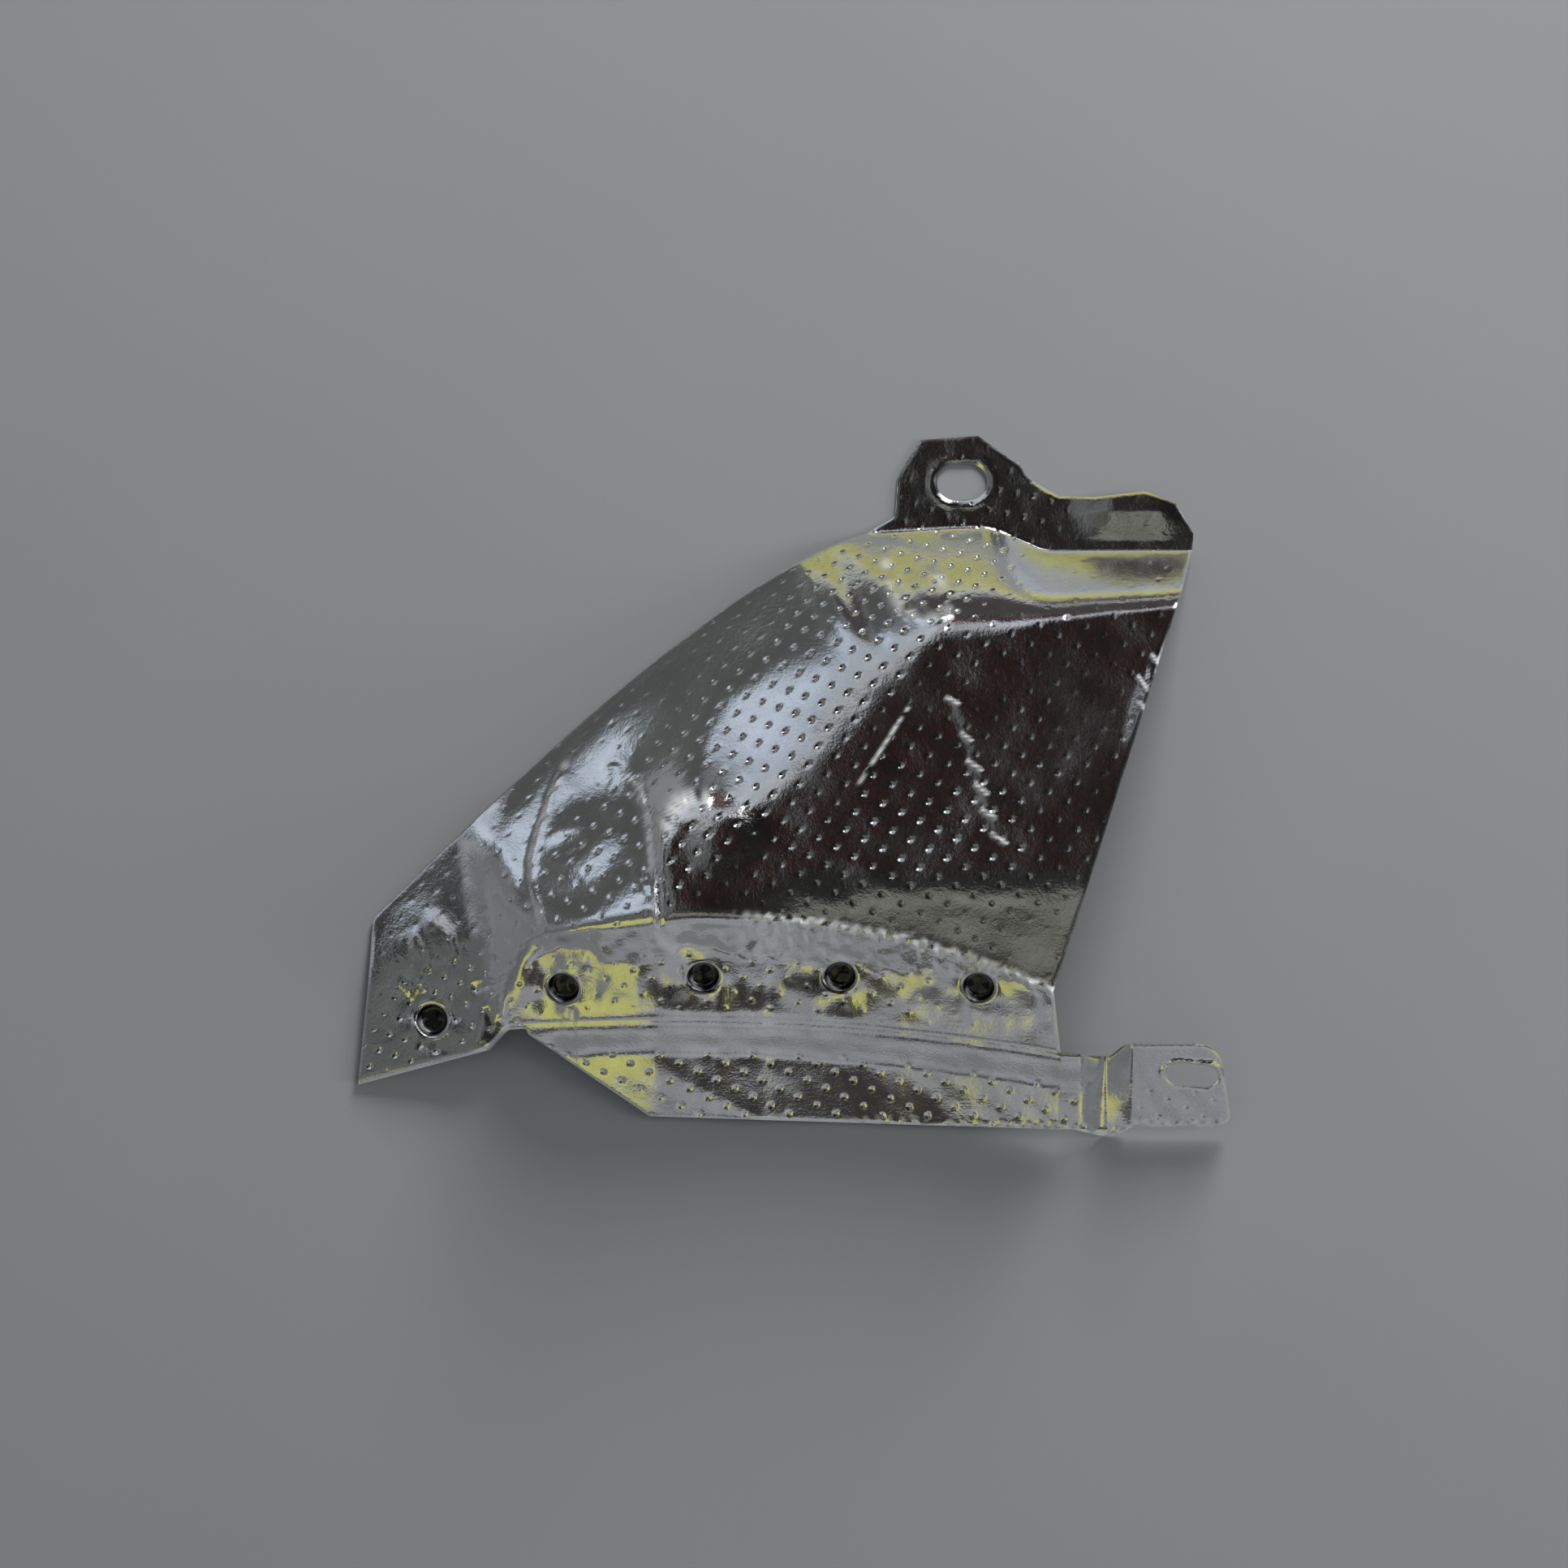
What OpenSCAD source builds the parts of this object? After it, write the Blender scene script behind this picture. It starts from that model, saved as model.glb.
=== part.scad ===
// Fender heat shield: a pressed hood panel of dimpled aluminium sheet, clinched to a
// support strip of the same sheet that runs along its front edge and carries a slotted tab.
// It lies rim down on a table: x runs to the right, y to the back, z up.

/* [Sheet metal] */
// Thickness of the hood panel
panel_t = 0.8; // [0.6:0.1:1.2]
// Thickness of the support strip
strip_t = 0.8; // [0.6:0.1:1.2]
// Air between the two sheets where they lie on each other
sheet_gap = 0.2; // [0.1:0.05:0.4]

/* [Whole shield] */
// Length from the left corner to the end of the tab
overall_l = 215.4; // [206:0.2:230]
// Depth from the V-fold at the front to the tip of the ear
overall_d = 173; // [170:0.5:182]

/* [Hood] */
// Height of the main face at its front fold
crown_h = 32; // [27:0.5:36]
// Fall of the main face towards the back, in degrees
back_fall = 5; // [3:0.5:7]
// Slope of the left flank towards its rim, in degrees
flank_tilt = 38; // [35:1:41]
// Half width of the rounding between main face and flank
flank_round = 16; // [12:0.5:18]
// Slope of the band in front of the front fold, in degrees
band_tilt = 30; // [25:1:34]
// Place of the front fold behind the front edge, at its furthest point
fold_y = 54.4; // [51:0.2:57]
// Radius that the front fold follows, seen from above
fold_r = 200; // [170:5:260]
// Place of the hood's lower cut edge behind the front edge, at its furthest point
cut_y = 28.9; // [27:0.1:31]
// Radius that the lower cut edge follows, seen from above
cut_r = 563; // [450:10:800]
// Place of the back shoulder in front of the tip of the ear, at the middle of the ear
shoulder_in = 44.5; // [42:0.5:49]
// Extra slope of the foot of the main face, in degrees
foot_tilt = 17; // [8:1:20]

/* [Ear and flange] */
// Middle of the ear hole, to the right of the middle of the shield
ear_x = 41.5; // [38:0.5:45]
// Length of the oval ear hole
ear_hole_l = 12.4; // [10:0.2:14]
// Width of the oval ear hole
ear_hole_w = 8.8; // [6:0.2:9.6]
// Sheet left behind the ear hole
ear_edge = 7; // [5:0.5:9]
// Half width of the ear
ear_half_w = 15.8; // [13:0.2:17]
// Depth of the flange to the right of the ear
flange_d = 14; // [11:0.5:16]

/* [Support strip] */
// Slope of the strip in front of the hood, in degrees
strip_tilt = 23; // [19:1:26]
// Height of the step just in front of the hood's cut edge
step_h = 3.4; // [2:0.2:4.4]
// Place of the V-fold in from the end of the tab
vee_in = 30.7; // [28:0.5:34]
// Half width of the V-fold
vee_w = 7; // [5:0.5:8]
// Slope of the tab, in degrees
tab_tilt = 33; // [25:1:36]
// Width of the tab, along the slope
tab_w = 24.6; // [22:0.2:26]
// Middle of the slot in from the end of the tab
slot_in = 9.6; // [8.5:0.1:12]
// Middle of the slot up the slope from the front edge of the tab
slot_up = 15.4; // [12:0.2:18]
// Length of the slot in the tab
slot_l = 12.8; // [10:0.2:14]
// Width of the slot in the tab
slot_w = 6.4; // [5.4:0.2:8]

/* [Clinch points] */
// Inner radius of the pressed cups
clinch_r = 3.6; // [3:0.1:4]
// Depth of the pressed cups
clinch_d = 2.4; // [2:0.1:3]
// Wall of the pressed cups
clinch_wall = 0.5; // [0.4:0.05:0.6]
// Air between the two nested cups
clinch_gap = 0.1; // [0.05:0.05:0.15]

/* [Hidden] */

// Grid of the pressed sheets: columns along the length, rows of the band and of the face
hood_cols = 46;
band_rows = 6;
face_rows = 28;
vee_cols = 6;
tab_cols = 4;
strip_rows = 8;
row_crowding = 1.35;
// How far a pressed sheet runs into the flat plate that it joins, and how deep it hides there
joint_lap = 1.4;
joint_inset = 0.06;

left_x = -overall_l / 2;
right_x = overall_l / 2;

// Lines that the front fold and the lower cut edge are bowed about
fold_mid_x = -22;
cut_mid_x = -30;
// The small step in the lower cut edge, near its left end
notch_x0 = left_x + 32.8;
notch_x1 = notch_x0 + 4.4;
notch_y = cut_y - 6.3;
// Corners of the hood panel, seen from above
corner = [left_x, cut_y - 15.1];
band_end_x = right_x - 42.2;
band_right = [band_end_x, cut_edge_y(band_end_x)];
fold_left_x = left_x + 2.4;
fold_left = [fold_left_x, fold_line_y(fold_left_x)];
fold_right_x = band_end_x - 1.8;
fold_right = [fold_right_x, fold_line_y(fold_right_x)];
rim_left = [left_x + 3.6, fold_y - 0.8];
rim_back = [ear_x - 23.2, overall_d - 24];
face_right = [right_x - 9.4, overall_d - 28.7];
// The flange fold lies a little further back at the ear: it climbs and drops over these places
flange_lift = 1.2;
lift_from = ear_x - 23.5;
lift_to = ear_x + 2.5;
drop_from = ear_x + 4.5;
drop_to = ear_x + 22.5;
// Handles of the curve of the left rim, their angles, and the share of its short straight start
rim_handle = 62;
rim_angle = 45;
rim_end_angle = 14;
rim_start = 0.1;

// The flank starts at a straight line, seen from above, at this point and angle
flank_from = [left_x + 74, fold_y + 5.8];
flank_angle = 44.6;
// To the right of the crease near the left end it starts this much further out, and to the left of
// the crease it is less steep, with a tighter rounding; the crease spreads between two places and
// fades between two distances down the flank
flank_shift = 9;
left_tilt = 32;
left_round = 9;
crease_from = left_x + 78.7;
crease_to = left_x + 69.7;
crease_fade = [22, 42];
// Beside the crease the main face bulges out over the flank: middle, radius, reach and rounding there
bulge_at = [left_x + 82.7, fold_y + 18.6];
bulge_r = 11;
bulge_out = 7;
bulge_round = 7;
// Rounding half widths of the other bends
band_round = 1.2;
back_round = 7;
foot_round = 6;
seat_round = 1.2;
// The left end of the hood lies low, behind a steep fall
end_x = left_x + 45.7;
end_drop = 10;
end_slope = 1;
end_round = 4;
toe_x = left_x + 32.7;
toe_slope = 0.2;
toe_fall = 0.13;
toe_fall_from = 2;
toe_fall_round = 3;
toe_air = 0.05;
toe_h = (panel_t + sheet_gap + strip_t) * norm([toe_slope, 1]) + toe_air;
// The foot of the main face bends forward on its right half
foot_y = fold_y + 7.6;
foot_from = -30;
foot_to = 20;
// The back shoulder climbs to the right
shoulder_y = overall_d - shoulder_in;
shoulder_slope = 0.086;

// Strip outline: left cut corner, its diagonal, the right upper edge, the front edge
lap_out = 1.2;
front_y = 1.6;
front_slope = 0.032;
diag_from = [left_x + 42, cut_y - 3.7];
diag_to = [left_x + 72, front_y + 3.2];
// The step in the strip grows over this length, and lies between these two distances in front of
// the hood's cut edge
step_grow = 14.5;
step_at = [0.6, 8.2];
// The tab: where it starts, the place and height of its front edge, its rounded corners
vee_x = right_x - vee_in;
tab_x = vee_x + 7;
tab_front = [2.2, 2.4];
tab_round = 7;
tab_toe_r = 3.4;
tab_corner_in = 2;
slot_turn = -7;
// How far the curled front edge at the V-fold reaches past it, and the drop of the strip's back edge
vee_reach = 2;
vee_dip = 1;

// Clinch points: share of the way along the lower cut edge, and distance behind it
clinch_set = [[0.105, 10.1], [0.2933, 8.34], [0.4931, 10.55], [0.687, 12], [0.8834, 12.95]];
clinch_at = [for (c = clinch_set)
    let (x = mix(left_x, band_end_x, c[0])) [x, cut_edge_y(x) + c[1]]];
// How far the rims of the cups stay below the face of the sheet, so that they hide in it
cup_sink = 0.1;

ear_y = overall_d - ear_edge - ear_hole_w / 2;

// Outline of the flange, as steps from its back right corner, and of the ear, as steps from
// its right and left sides and its tip
flange_steps = [[0.4, -9.5], [-4, -1.8], [-11.6, 1], [-24, -0.4]];
ear_foot_steps = [[8, -0.2], [0.4, 4.4]];
ear_right_steps = [[-1.6, -7], [-9.6, -1.6], [-11.8, 0]];
ear_left_steps = [[5.4, -1], [0, -9.6]];
ear_left_foot = [-0.8, 4.2];

// A ramp that is 0 before 0 and t after it, rounded over k on each side
function ramp(t, k) = t <= -k ? 0 : t >= k ? t : pow(t + k, 2) / (4 * k);
function soft_min(a, b, k) = b - ramp(b - a, k);
function soft_max(a, b, k) = a + ramp(b - a, k);
function mix(a, b, s) = a + (b - a) * s;
// A smooth step from 0 at a to 1 at b
function ease(a, b, t) = let (s = min(1, max(0, (t - a) / (b - a)))) s * s * (3 - 2 * s);

// Curves seen from above
function fold_line_y(x) = fold_y - pow(x - fold_mid_x, 2) / (2 * fold_r);
function cut_arc_y(x) = cut_y - pow(x - cut_mid_x, 2) / (2 * cut_r);
function cut_edge_y(x) =
    x < notch_x0 ? mix(corner[1], notch_y, (x - left_x) / (notch_x0 - left_x))
    : x < notch_x1 ? mix(notch_y, cut_arc_y(notch_x1), (x - notch_x0) / (notch_x1 - notch_x0))
    : cut_arc_y(x);
function flange_line_y(x) =
    mix(rim_back[1] + flange_lift * ease(lift_from, lift_to, x), face_right[1], ease(drop_from, drop_to, x));
function shoulder_line_y(x) = shoulder_y + shoulder_slope * (x - ear_x);

// Height of the top face of the hood panel
function main_h(x, y) = crown_h - tan(back_fall) * (y - fold_y)
    - tan(foot_tilt) * ease(foot_from, foot_to, x) * ramp(foot_y - y, foot_round);
function flank_dist(x, y) =
    (y - flank_from[1]) * cos(flank_angle) - (x - flank_from[0]) * sin(flank_angle);
function flank_drop(x, y) =
    let (d = flank_dist(x, y), b = exp(-pow(norm([x, y] - bulge_at) / bulge_r, 2)))
    mix(tan(flank_tilt) * ramp(d - flank_shift - bulge_out * b, mix(flank_round, bulge_round, b)),
        tan(left_tilt) * ramp(d, left_round),
        ease(crease_from, crease_to, x) * (1 - ease(crease_fade[0], crease_fade[1], d)));
function flank_h(x, y) = main_h(x, y) - flank_drop(x, y);
function back_h(x, y) = let (yf = flange_line_y(x), ys = shoulder_line_y(x))
    panel_t + (main_h(x, ys) - panel_t) * (yf - y) / (yf - ys);
function band_h(x, y) = let (yf = fold_line_y(x)) flank_h(x, yf) - tan(band_tilt) * (yf - y);
function end_h(x) = crown_h - end_drop + end_slope * (x - end_x);
function toe_top_h(x, y) = let (rise = toe_h + toe_slope * (x - left_x))
    soft_min(rise, rise - end_slope * (x - toe_x), end_round)
    - toe_fall * ramp(y - fold_line_y(x) - toe_fall_from, toe_fall_round);
function hood_h(x, y) =
    let (a = soft_min(flank_h(x, y), band_h(x, y), band_round))
    let (b = soft_min(a, end_h(x), end_round))
    let (c = soft_min(b, back_h(x, y), back_round))
    soft_max(soft_max(c, toe_top_h(x, y), end_round), panel_t, seat_round);

// Height of the top face of the support strip
function slope_of(x, y, e) =
    [(hood_h(x + e, y) - hood_h(x - e, y)) / (2 * e), (hood_h(x, y + e) - hood_h(x, y - e)) / (2 * e)];
function lean(x, y) = norm([each slope_of(x, y, 0.05), 1]);
function under_hood_h(x, y) = hood_h(x, y) - (panel_t + sheet_gap) * lean(x, y);
function strip_edge_x(x) = min(x, band_end_x);
function strip_slope_h(x, y) =
    let (xe = strip_edge_x(x), ye = cut_edge_y(xe), q = ye - y)
    let (grow = ease(notch_x1, notch_x1 + step_grow, x))
    under_hood_h(xe, ye) - step_h * grow * ease(step_at[0], step_at[1], q)
    - mix(tan(band_tilt), tan(strip_tilt), grow) * q;
function tab_h(y) = tab_front[1] + tan(tab_tilt) * (y - tab_front[0]);
vee_low = strip_t / cos(strip_tilt);
function vee_h(y) = vee_low + tan(strip_tilt) * y;
function strip_h(x, y) =
    x > vee_x ? mix(vee_h(y), tab_h(y), min(1, (x - vee_x) / (tab_x - 1 - vee_x)))
    : mix(strip_slope_h(x, y), vee_h(y), ease(vee_x - vee_w, vee_x, x));

// Points of the two sheets seen from above
function bezier(p0, p1, p2, p3, s) =
    pow(1 - s, 3) * p0 + 3 * pow(1 - s, 2) * s * p1 + 3 * (1 - s) * s * s * p2 + pow(s, 3) * p3;
function rim_point(w) = w < rim_start ? mix(fold_left, rim_left, w / rim_start)
    : let (s = (w - rim_start) / (1 - rim_start))
    bezier(rim_left, rim_left + rim_handle * [cos(rim_angle), sin(rim_angle)],
        rim_back - rim_handle / 2 * [cos(rim_end_angle), sin(rim_end_angle)], rim_back, s);
function face_low(u) = let (x = mix(fold_left[0], fold_right[0], u)) [x, fold_line_y(x)];
function face_top(u) = let (x = mix(rim_back[0], face_right[0], u)) [x, flange_line_y(x)];
function face_side(w) = mix(fold_right, face_right, w);
function face_point(u, w) = mix(face_low(u), face_top(u), w) + mix(rim_point(w), face_side(w), u)
    - mix(mix(fold_left, fold_right, u), mix(rim_back, face_right, u), w);
function band_point(u, v) =
    let (cut_x = mix(left_x, band_end_x, u), fold = face_low(u))
    mix([cut_x, cut_edge_y(cut_x)], fold, v);

// Front and back edges of the strip, seen from above
tab_back = tab_front[0] + tab_w * cos(tab_tilt);
function bump(x) = max(0, 1 - abs(x - vee_x) / (vee_w + vee_reach));
function front_edge_y(x) =
    x < diag_from[0] ? cut_edge_y(x) - lap_out
    : x < diag_to[0] ? mix(diag_from[1], diag_to[1], (x - diag_from[0]) / (diag_to[0] - diag_from[0]))
    : (front_y + front_slope * max(0, band_end_x - x)) * (1 - ease(0, 1, bump(x)));
function back_edge_y(x) =
    x < vee_x ? band_right[1] - vee_dip * ease(band_end_x, vee_x, x)
    : mix(band_right[1] - vee_dip, tab_back - 0.1, ease(vee_x, tab_x - 2, x));

// Grids of points on the top faces; each lower face lies straight below at the sheet's own thickness
function below(p, t, steep, floor_h) = [p[0], p[1], max(floor_h, p[2] - t * steep)];
hood_xy = [for (i = [0:band_rows + face_rows]) [for (j = [0:hood_cols]) let (u = j / hood_cols)
    i < band_rows ? band_point(u, i / band_rows)
    : face_point(u, 1 - pow(1 - (i - band_rows) / face_rows, row_crowding))]];
hood_lap_xy = [for (j = [0:hood_cols]) face_top(j / hood_cols) + [0, joint_lap]];
hood_top = [for (row = hood_xy) [for (p = row) [p[0], p[1], hood_h(p[0], p[1])]],
    [for (p = hood_lap_xy) [p[0], p[1], panel_t - joint_inset]]];
hood_low = [for (row = hood_xy) [for (p = row)
        below([p[0], p[1], hood_h(p[0], p[1])], panel_t, lean(p[0], p[1]), joint_inset)],
    [for (p = hood_lap_xy) [p[0], p[1], joint_inset]]];

strip_end_x = [
    for (j = [1:vee_cols]) mix(band_end_x, vee_x, j / vee_cols),
    for (j = [1:tab_cols]) mix(vee_x, tab_x, j / tab_cols)];
strip_cols = len(strip_end_x);
function strip_point(i, x) = [x, mix(front_edge_y(x), back_edge_y(x), i / strip_rows)];
strip_xy = [for (i = [0:strip_rows + band_rows]) [
    for (j = [0:hood_cols]) let (p = band_point(j / hood_cols, max(0, i - strip_rows) / band_rows))
        i >= strip_rows ? p : [p[0], mix(front_edge_y(p[0]), p[1], i / strip_rows)],
    for (x = strip_end_x) strip_point(min(i, strip_rows), x)]];
function strip_top_h(i, j, p) =
    i > strip_rows && j <= hood_cols ? under_hood_h(p[0], p[1])
    : j < hood_cols + strip_cols ? strip_h(p[0], p[1]) : tab_h(p[1]) - joint_inset;
strip_top = [for (i = [0:strip_rows + band_rows]) [for (j = [0:hood_cols + strip_cols])
    let (p = strip_xy[i][j]) [p[0], p[1], strip_top_h(i, j, p)]]];

// The strip's slopes are all close to this one
strip_lean = norm([tan(strip_tilt), 1]);
strip_low = [for (row = strip_top) [for (j = [0:hood_cols + strip_cols])
    below(row[j], strip_t - (j < hood_cols + strip_cols ? 0 : 2 * joint_inset), strip_lean, 0)]];

// A sheet between two grids of points, without the cells past row cut_i and column cut_j
module sheet(top, low, cut_i, cut_j) {
    m = len(top);
    n = len(top[0]);
    function has(i, j) = i >= 0 && i < m - 1 && j >= 0 && j < n - 1 && !(i >= cut_i && j >= cut_j);
    function at(i, j) = i * n + j;
    function quad(a, b, c, d) = [[a, b, c], [a, c, d]];
    polyhedron(
        points = [for (row = top) each row, for (row = low) each row],
        faces = [for (i = [0:m - 2], j = [0:n - 2]) if (has(i, j))
            let (a = at(i, j), b = at(i + 1, j), c = at(i + 1, j + 1), d = at(i, j + 1), k = m * n) each [
                each quad(a, b, c, d),
                each quad(c + k, b + k, a + k, d + k),
                if (!has(i - 1, j)) each quad(a, d, d + k, a + k),
                if (!has(i + 1, j)) each quad(c, b, b + k, c + k),
                if (!has(i, j - 1)) each quad(b, a, a + k, b + k),
                if (!has(i, j + 1)) each quad(d, c, c + k, d + k)]],
        convexity = 8);
}

// Moves its children so that their z axis stands square on the hood at point c, seen from above
module on_hood(c) {
    g = slope_of(c[0], c[1], clinch_r / 2);
    translate([c[0], c[1], hood_h(c[0], c[1])])
        rotate([0, atan(norm(g)), atan2(-g[1], -g[0])])
            children();
}

// One pressed cup with its open side up: its rim lies at z = top, its floor at z = -depth
module cup(r, top, depth) {
    translate([0, 0, -depth - clinch_wall])
        difference() {
            cylinder(r = r + clinch_wall, h = depth + clinch_wall + top, $fn = 48);
            translate([0, 0, clinch_wall])
                cylinder(r = r, h = depth + top + 1, $fn = 48);
        }
}

strip_cup_r = clinch_r + clinch_wall + clinch_gap;
strip_drop = panel_t + sheet_gap;

// A long round-ended hole through a plate that lies between z = 0 and z = t
module slot_hole(l, w, t) {
    for (side = [-1, 1])
        translate([side * (l - w) / 2, 0, -1])
            cylinder(d = w, h = t + 2, $fn = 48);
    translate([-(l - w) / 2, -w / 2, -1])
        cube([l - w, w, t + 2]);
}

// Points on an arc, and corners as steps from one point
function arc(c, r, from, to, steps) =
    [for (k = [0:steps]) c + r * [cos(mix(from, to, k / steps)), sin(mix(from, to, k / steps))]];
function steps_from(p, steps) = [for (d = steps) p + d];

flange_back = face_right[1] + flange_d;
flange_outline = [
    for (u = [0:0.05:1]) face_top(u) + [0, 0.2],
    each steps_from([face_right[0], flange_back], flange_steps),
    each steps_from([ear_x + ear_half_w, flange_back], ear_foot_steps),
    each steps_from([ear_x + ear_half_w, overall_d], ear_right_steps),
    each steps_from([ear_x - ear_half_w, overall_d], ear_left_steps),
    each steps_from([ear_x - ear_half_w, rim_back[1]], [ear_left_foot])];

// The middle of the footprint is the origin
module placed() {
    translate([0, -overall_d / 2, 0])
        children();
}

module hood_panel() {
    color("silver") placed() {
        difference() {
            sheet(hood_top, hood_low, len(hood_top), 0);
            for (c = clinch_at)
                on_hood(c)
                    cylinder(r = clinch_r + clinch_wall / 2, h = 4 * clinch_d, center = true, $fn = 48);
        }
        difference() {
            linear_extrude(panel_t)
                polygon(flange_outline);
            translate([ear_x, ear_y, 0])
                slot_hole(ear_hole_l, ear_hole_w, panel_t);
        }
        for (c = clinch_at)
            on_hood(c)
                cup(clinch_r, -cup_sink, clinch_d);
    }
}

// Outline of the tab in its own plane, x along the shield and y up the slope
tab_outline = [
    [tab_x - 1, 0],
    each arc([right_x - tab_toe_r, tab_toe_r], tab_toe_r, 270, 360, 6),
    each arc([right_x - tab_corner_in - tab_round, tab_w - tab_round], tab_round, 8, 90, 8),
    [tab_x - 1, tab_w]];

module support_strip() {
    color("gainsboro") placed() {
        difference() {
            sheet(strip_top, strip_low, strip_rows, hood_cols);
            for (c = clinch_at)
                on_hood(c)
                    translate([0, 0, -strip_drop])
                        cylinder(r = strip_cup_r + clinch_wall / 2, h = 2 * clinch_d, center = true, $fn = 48);
        }
        translate([0, tab_front[0], tab_front[1]])
            rotate([tab_tilt, 0, 0])
                translate([0, 0, -strip_t])
                    difference() {
                        linear_extrude(strip_t)
                            polygon(tab_outline);
                        translate([right_x - slot_in, slot_up, 0])
                            rotate(slot_turn)
                                slot_hole(slot_l, slot_w, strip_t);
                    }
        for (c = clinch_at)
            on_hood(c)
                cup(strip_cup_r, -strip_drop - cup_sink, clinch_d + clinch_wall + clinch_gap);
    }
}

hood_panel();
support_strip();
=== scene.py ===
# Fender heat shield of bright dimpled aluminium sheet: a pressed hood panel clinched to a support strip.
# Both pieces are worked out here as fine sheets over the part's own shape, lengths in millimetres.
import math
import bpy
import numpy as np
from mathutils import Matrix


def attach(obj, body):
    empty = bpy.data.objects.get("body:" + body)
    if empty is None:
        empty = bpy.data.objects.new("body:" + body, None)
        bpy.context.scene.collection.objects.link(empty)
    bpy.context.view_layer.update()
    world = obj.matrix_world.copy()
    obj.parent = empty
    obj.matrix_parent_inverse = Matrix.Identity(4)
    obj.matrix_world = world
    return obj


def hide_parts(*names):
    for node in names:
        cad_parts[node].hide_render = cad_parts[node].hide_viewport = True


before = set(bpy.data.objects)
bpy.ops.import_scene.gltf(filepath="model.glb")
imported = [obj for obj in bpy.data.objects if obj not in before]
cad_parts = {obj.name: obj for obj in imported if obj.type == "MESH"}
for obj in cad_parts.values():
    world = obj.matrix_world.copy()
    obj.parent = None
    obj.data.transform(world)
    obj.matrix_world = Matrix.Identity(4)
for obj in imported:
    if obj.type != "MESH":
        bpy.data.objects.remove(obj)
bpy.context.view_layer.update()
print("frame loaded:", sorted(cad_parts))

metre = 0.001    # one millimetre

# The whole shield and its sheet metal
shield = {"length": 215.4, "depth": 173.0, "panel": 0.8, "strip": 0.8, "gap": 0.2}
leftX = -shield["length"] / 2
rightX = shield["length"] / 2

# The hood's faces: heights, slopes in degrees, places and rounding half widths
hood = {
    "crown": 32.0, "backFall": 5.0, "flankTilt": 38.0, "flankRound": 16.0, "bandTilt": 30.0,
    "foldY": 54.4, "foldR": 200.0, "foldMid": -22.0, "cutY": 28.9, "cutR": 563.0, "cutMid": -30.0,
    "shoulderY": 128.5, "shoulderSlope": 0.086, "footTilt": 17.0, "footFrom": -30.0, "footTo": 20.0,
    "flankAngle": 44.6, "bandRound": 1.2, "backRound": 7.0, "footRound": 6.0, "seatRound": 1.2,
    "endDrop": 10.0, "endSlope": 1.0, "endRound": 4.0, "toeSlope": 0.2, "toeFall": 0.13,
    "earX": 41.5, "flangeLift": 1.2, "flankShift": 9.0, "leftTilt": 35.0, "leftRound": 9.0,
    "creaseX": -34.2, "creaseHalf": (1.4, 16.0), "creaseSpread": (74.0, 98.0), "creaseFade": (22.0, 42.0),
    "creaseFoot": 8.0, "creaseFootY": (60.0, 54.0), "bulgeX": -25.0, "bulgeY": 73.0, "bulgeR": 11.0,
    "bulgeOut": 7.0, "bulgeRound": 7.0, "flankFrom": (74.0, 5.8), "footAhead": 7.6,
    "liftAt": (-23.5, 2.5), "stepAt": (4.5, 22.5), "toeSeat": 0.05, "toeBehind": 2.0, "toeBend": 3.0,
    "toeEnd": 32.7, "endAt": 45.7, "leftFoldRound": 2.4, "foldRoundX": (-40, -12),
}
notchX = (leftX + 32.8, leftX + 37.2)
notchY = hood["cutY"] - 6.3
cornerY = hood["cutY"] - 15.1
bandEndX = rightX - 42.2
rimBack = (hood["earX"] - 23.2, shield["depth"] - 24.0)
faceRight = (rightX - 9.4, shield["depth"] - 28.7)


def tand(degrees):
    return math.tan(math.radians(degrees))


def cosd(degrees):
    return math.cos(math.radians(degrees))


def sind(degrees):
    return math.sin(math.radians(degrees))


# 0 before 0 and t after it, with a parabola over k on each side
def ramp(t, k):
    return np.where(t <= -k, 0.0, np.where(t >= k, t, (t + k) ** 2 / (4 * k)))


def softMin(a, b, k):
    return b - ramp(b - a, k)


def softMax(a, b, k):
    return a + ramp(b - a, k)


def mix(a, b, s):
    return a + (b - a) * s


# Smooth step from 0 at a to 1 at b: 3s^2 - 2s^3
def ease(a, b, t):
    s = np.clip((t - a) / (b - a), 0.0, 1.0)
    return s * s * (3 - 2 * s)


# Bell of height 1 at d = 0 that falls to 1/e at d = w
def bell(d, w):
    return np.exp(-(d / w) ** 2)


# Sum of eight sine waves in seeded directions, lengths near the given one, scaled to about -1..1
def waves(x, y, seed, length):
    rng = np.random.default_rng(seed)
    total = np.zeros(np.shape(x))
    for angle, phase, factor in rng.uniform((0, 0, 0.7), (math.pi, 2 * math.pi, 1.5), (8, 3)):
        k = 2 * math.pi / (length * factor)
        total = total + np.sin(k * (x * math.cos(angle) + y * math.sin(angle)) + phase)
    return total / 3.2


# Nearest distance to a polyline, the side it lies on (+1 left, -1 right), and the length walked along it
def pathDistance(x, y, path):
    best = np.full(np.shape(x), 1e9)
    side = np.zeros(np.shape(x))
    walked = np.zeros(np.shape(x))
    done = 0.0
    for (ax, ay), (bx, by) in zip(path[:-1], path[1:]):
        dx, dy = bx - ax, by - ay
        length = math.hypot(dx, dy)
        t = np.clip(((x - ax) * dx + (y - ay) * dy) / length ** 2, 0.0, 1.0)
        d = np.hypot(x - ax - t * dx, y - ay - t * dy)
        near = d < best
        best = np.where(near, d, best)
        side = np.where(near, np.sign(dx * (y - ay) - dy * (x - ax)), side)
        walked = np.where(near, done + t * length, walked)
        done += length
    return best, side, walked / done


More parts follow.
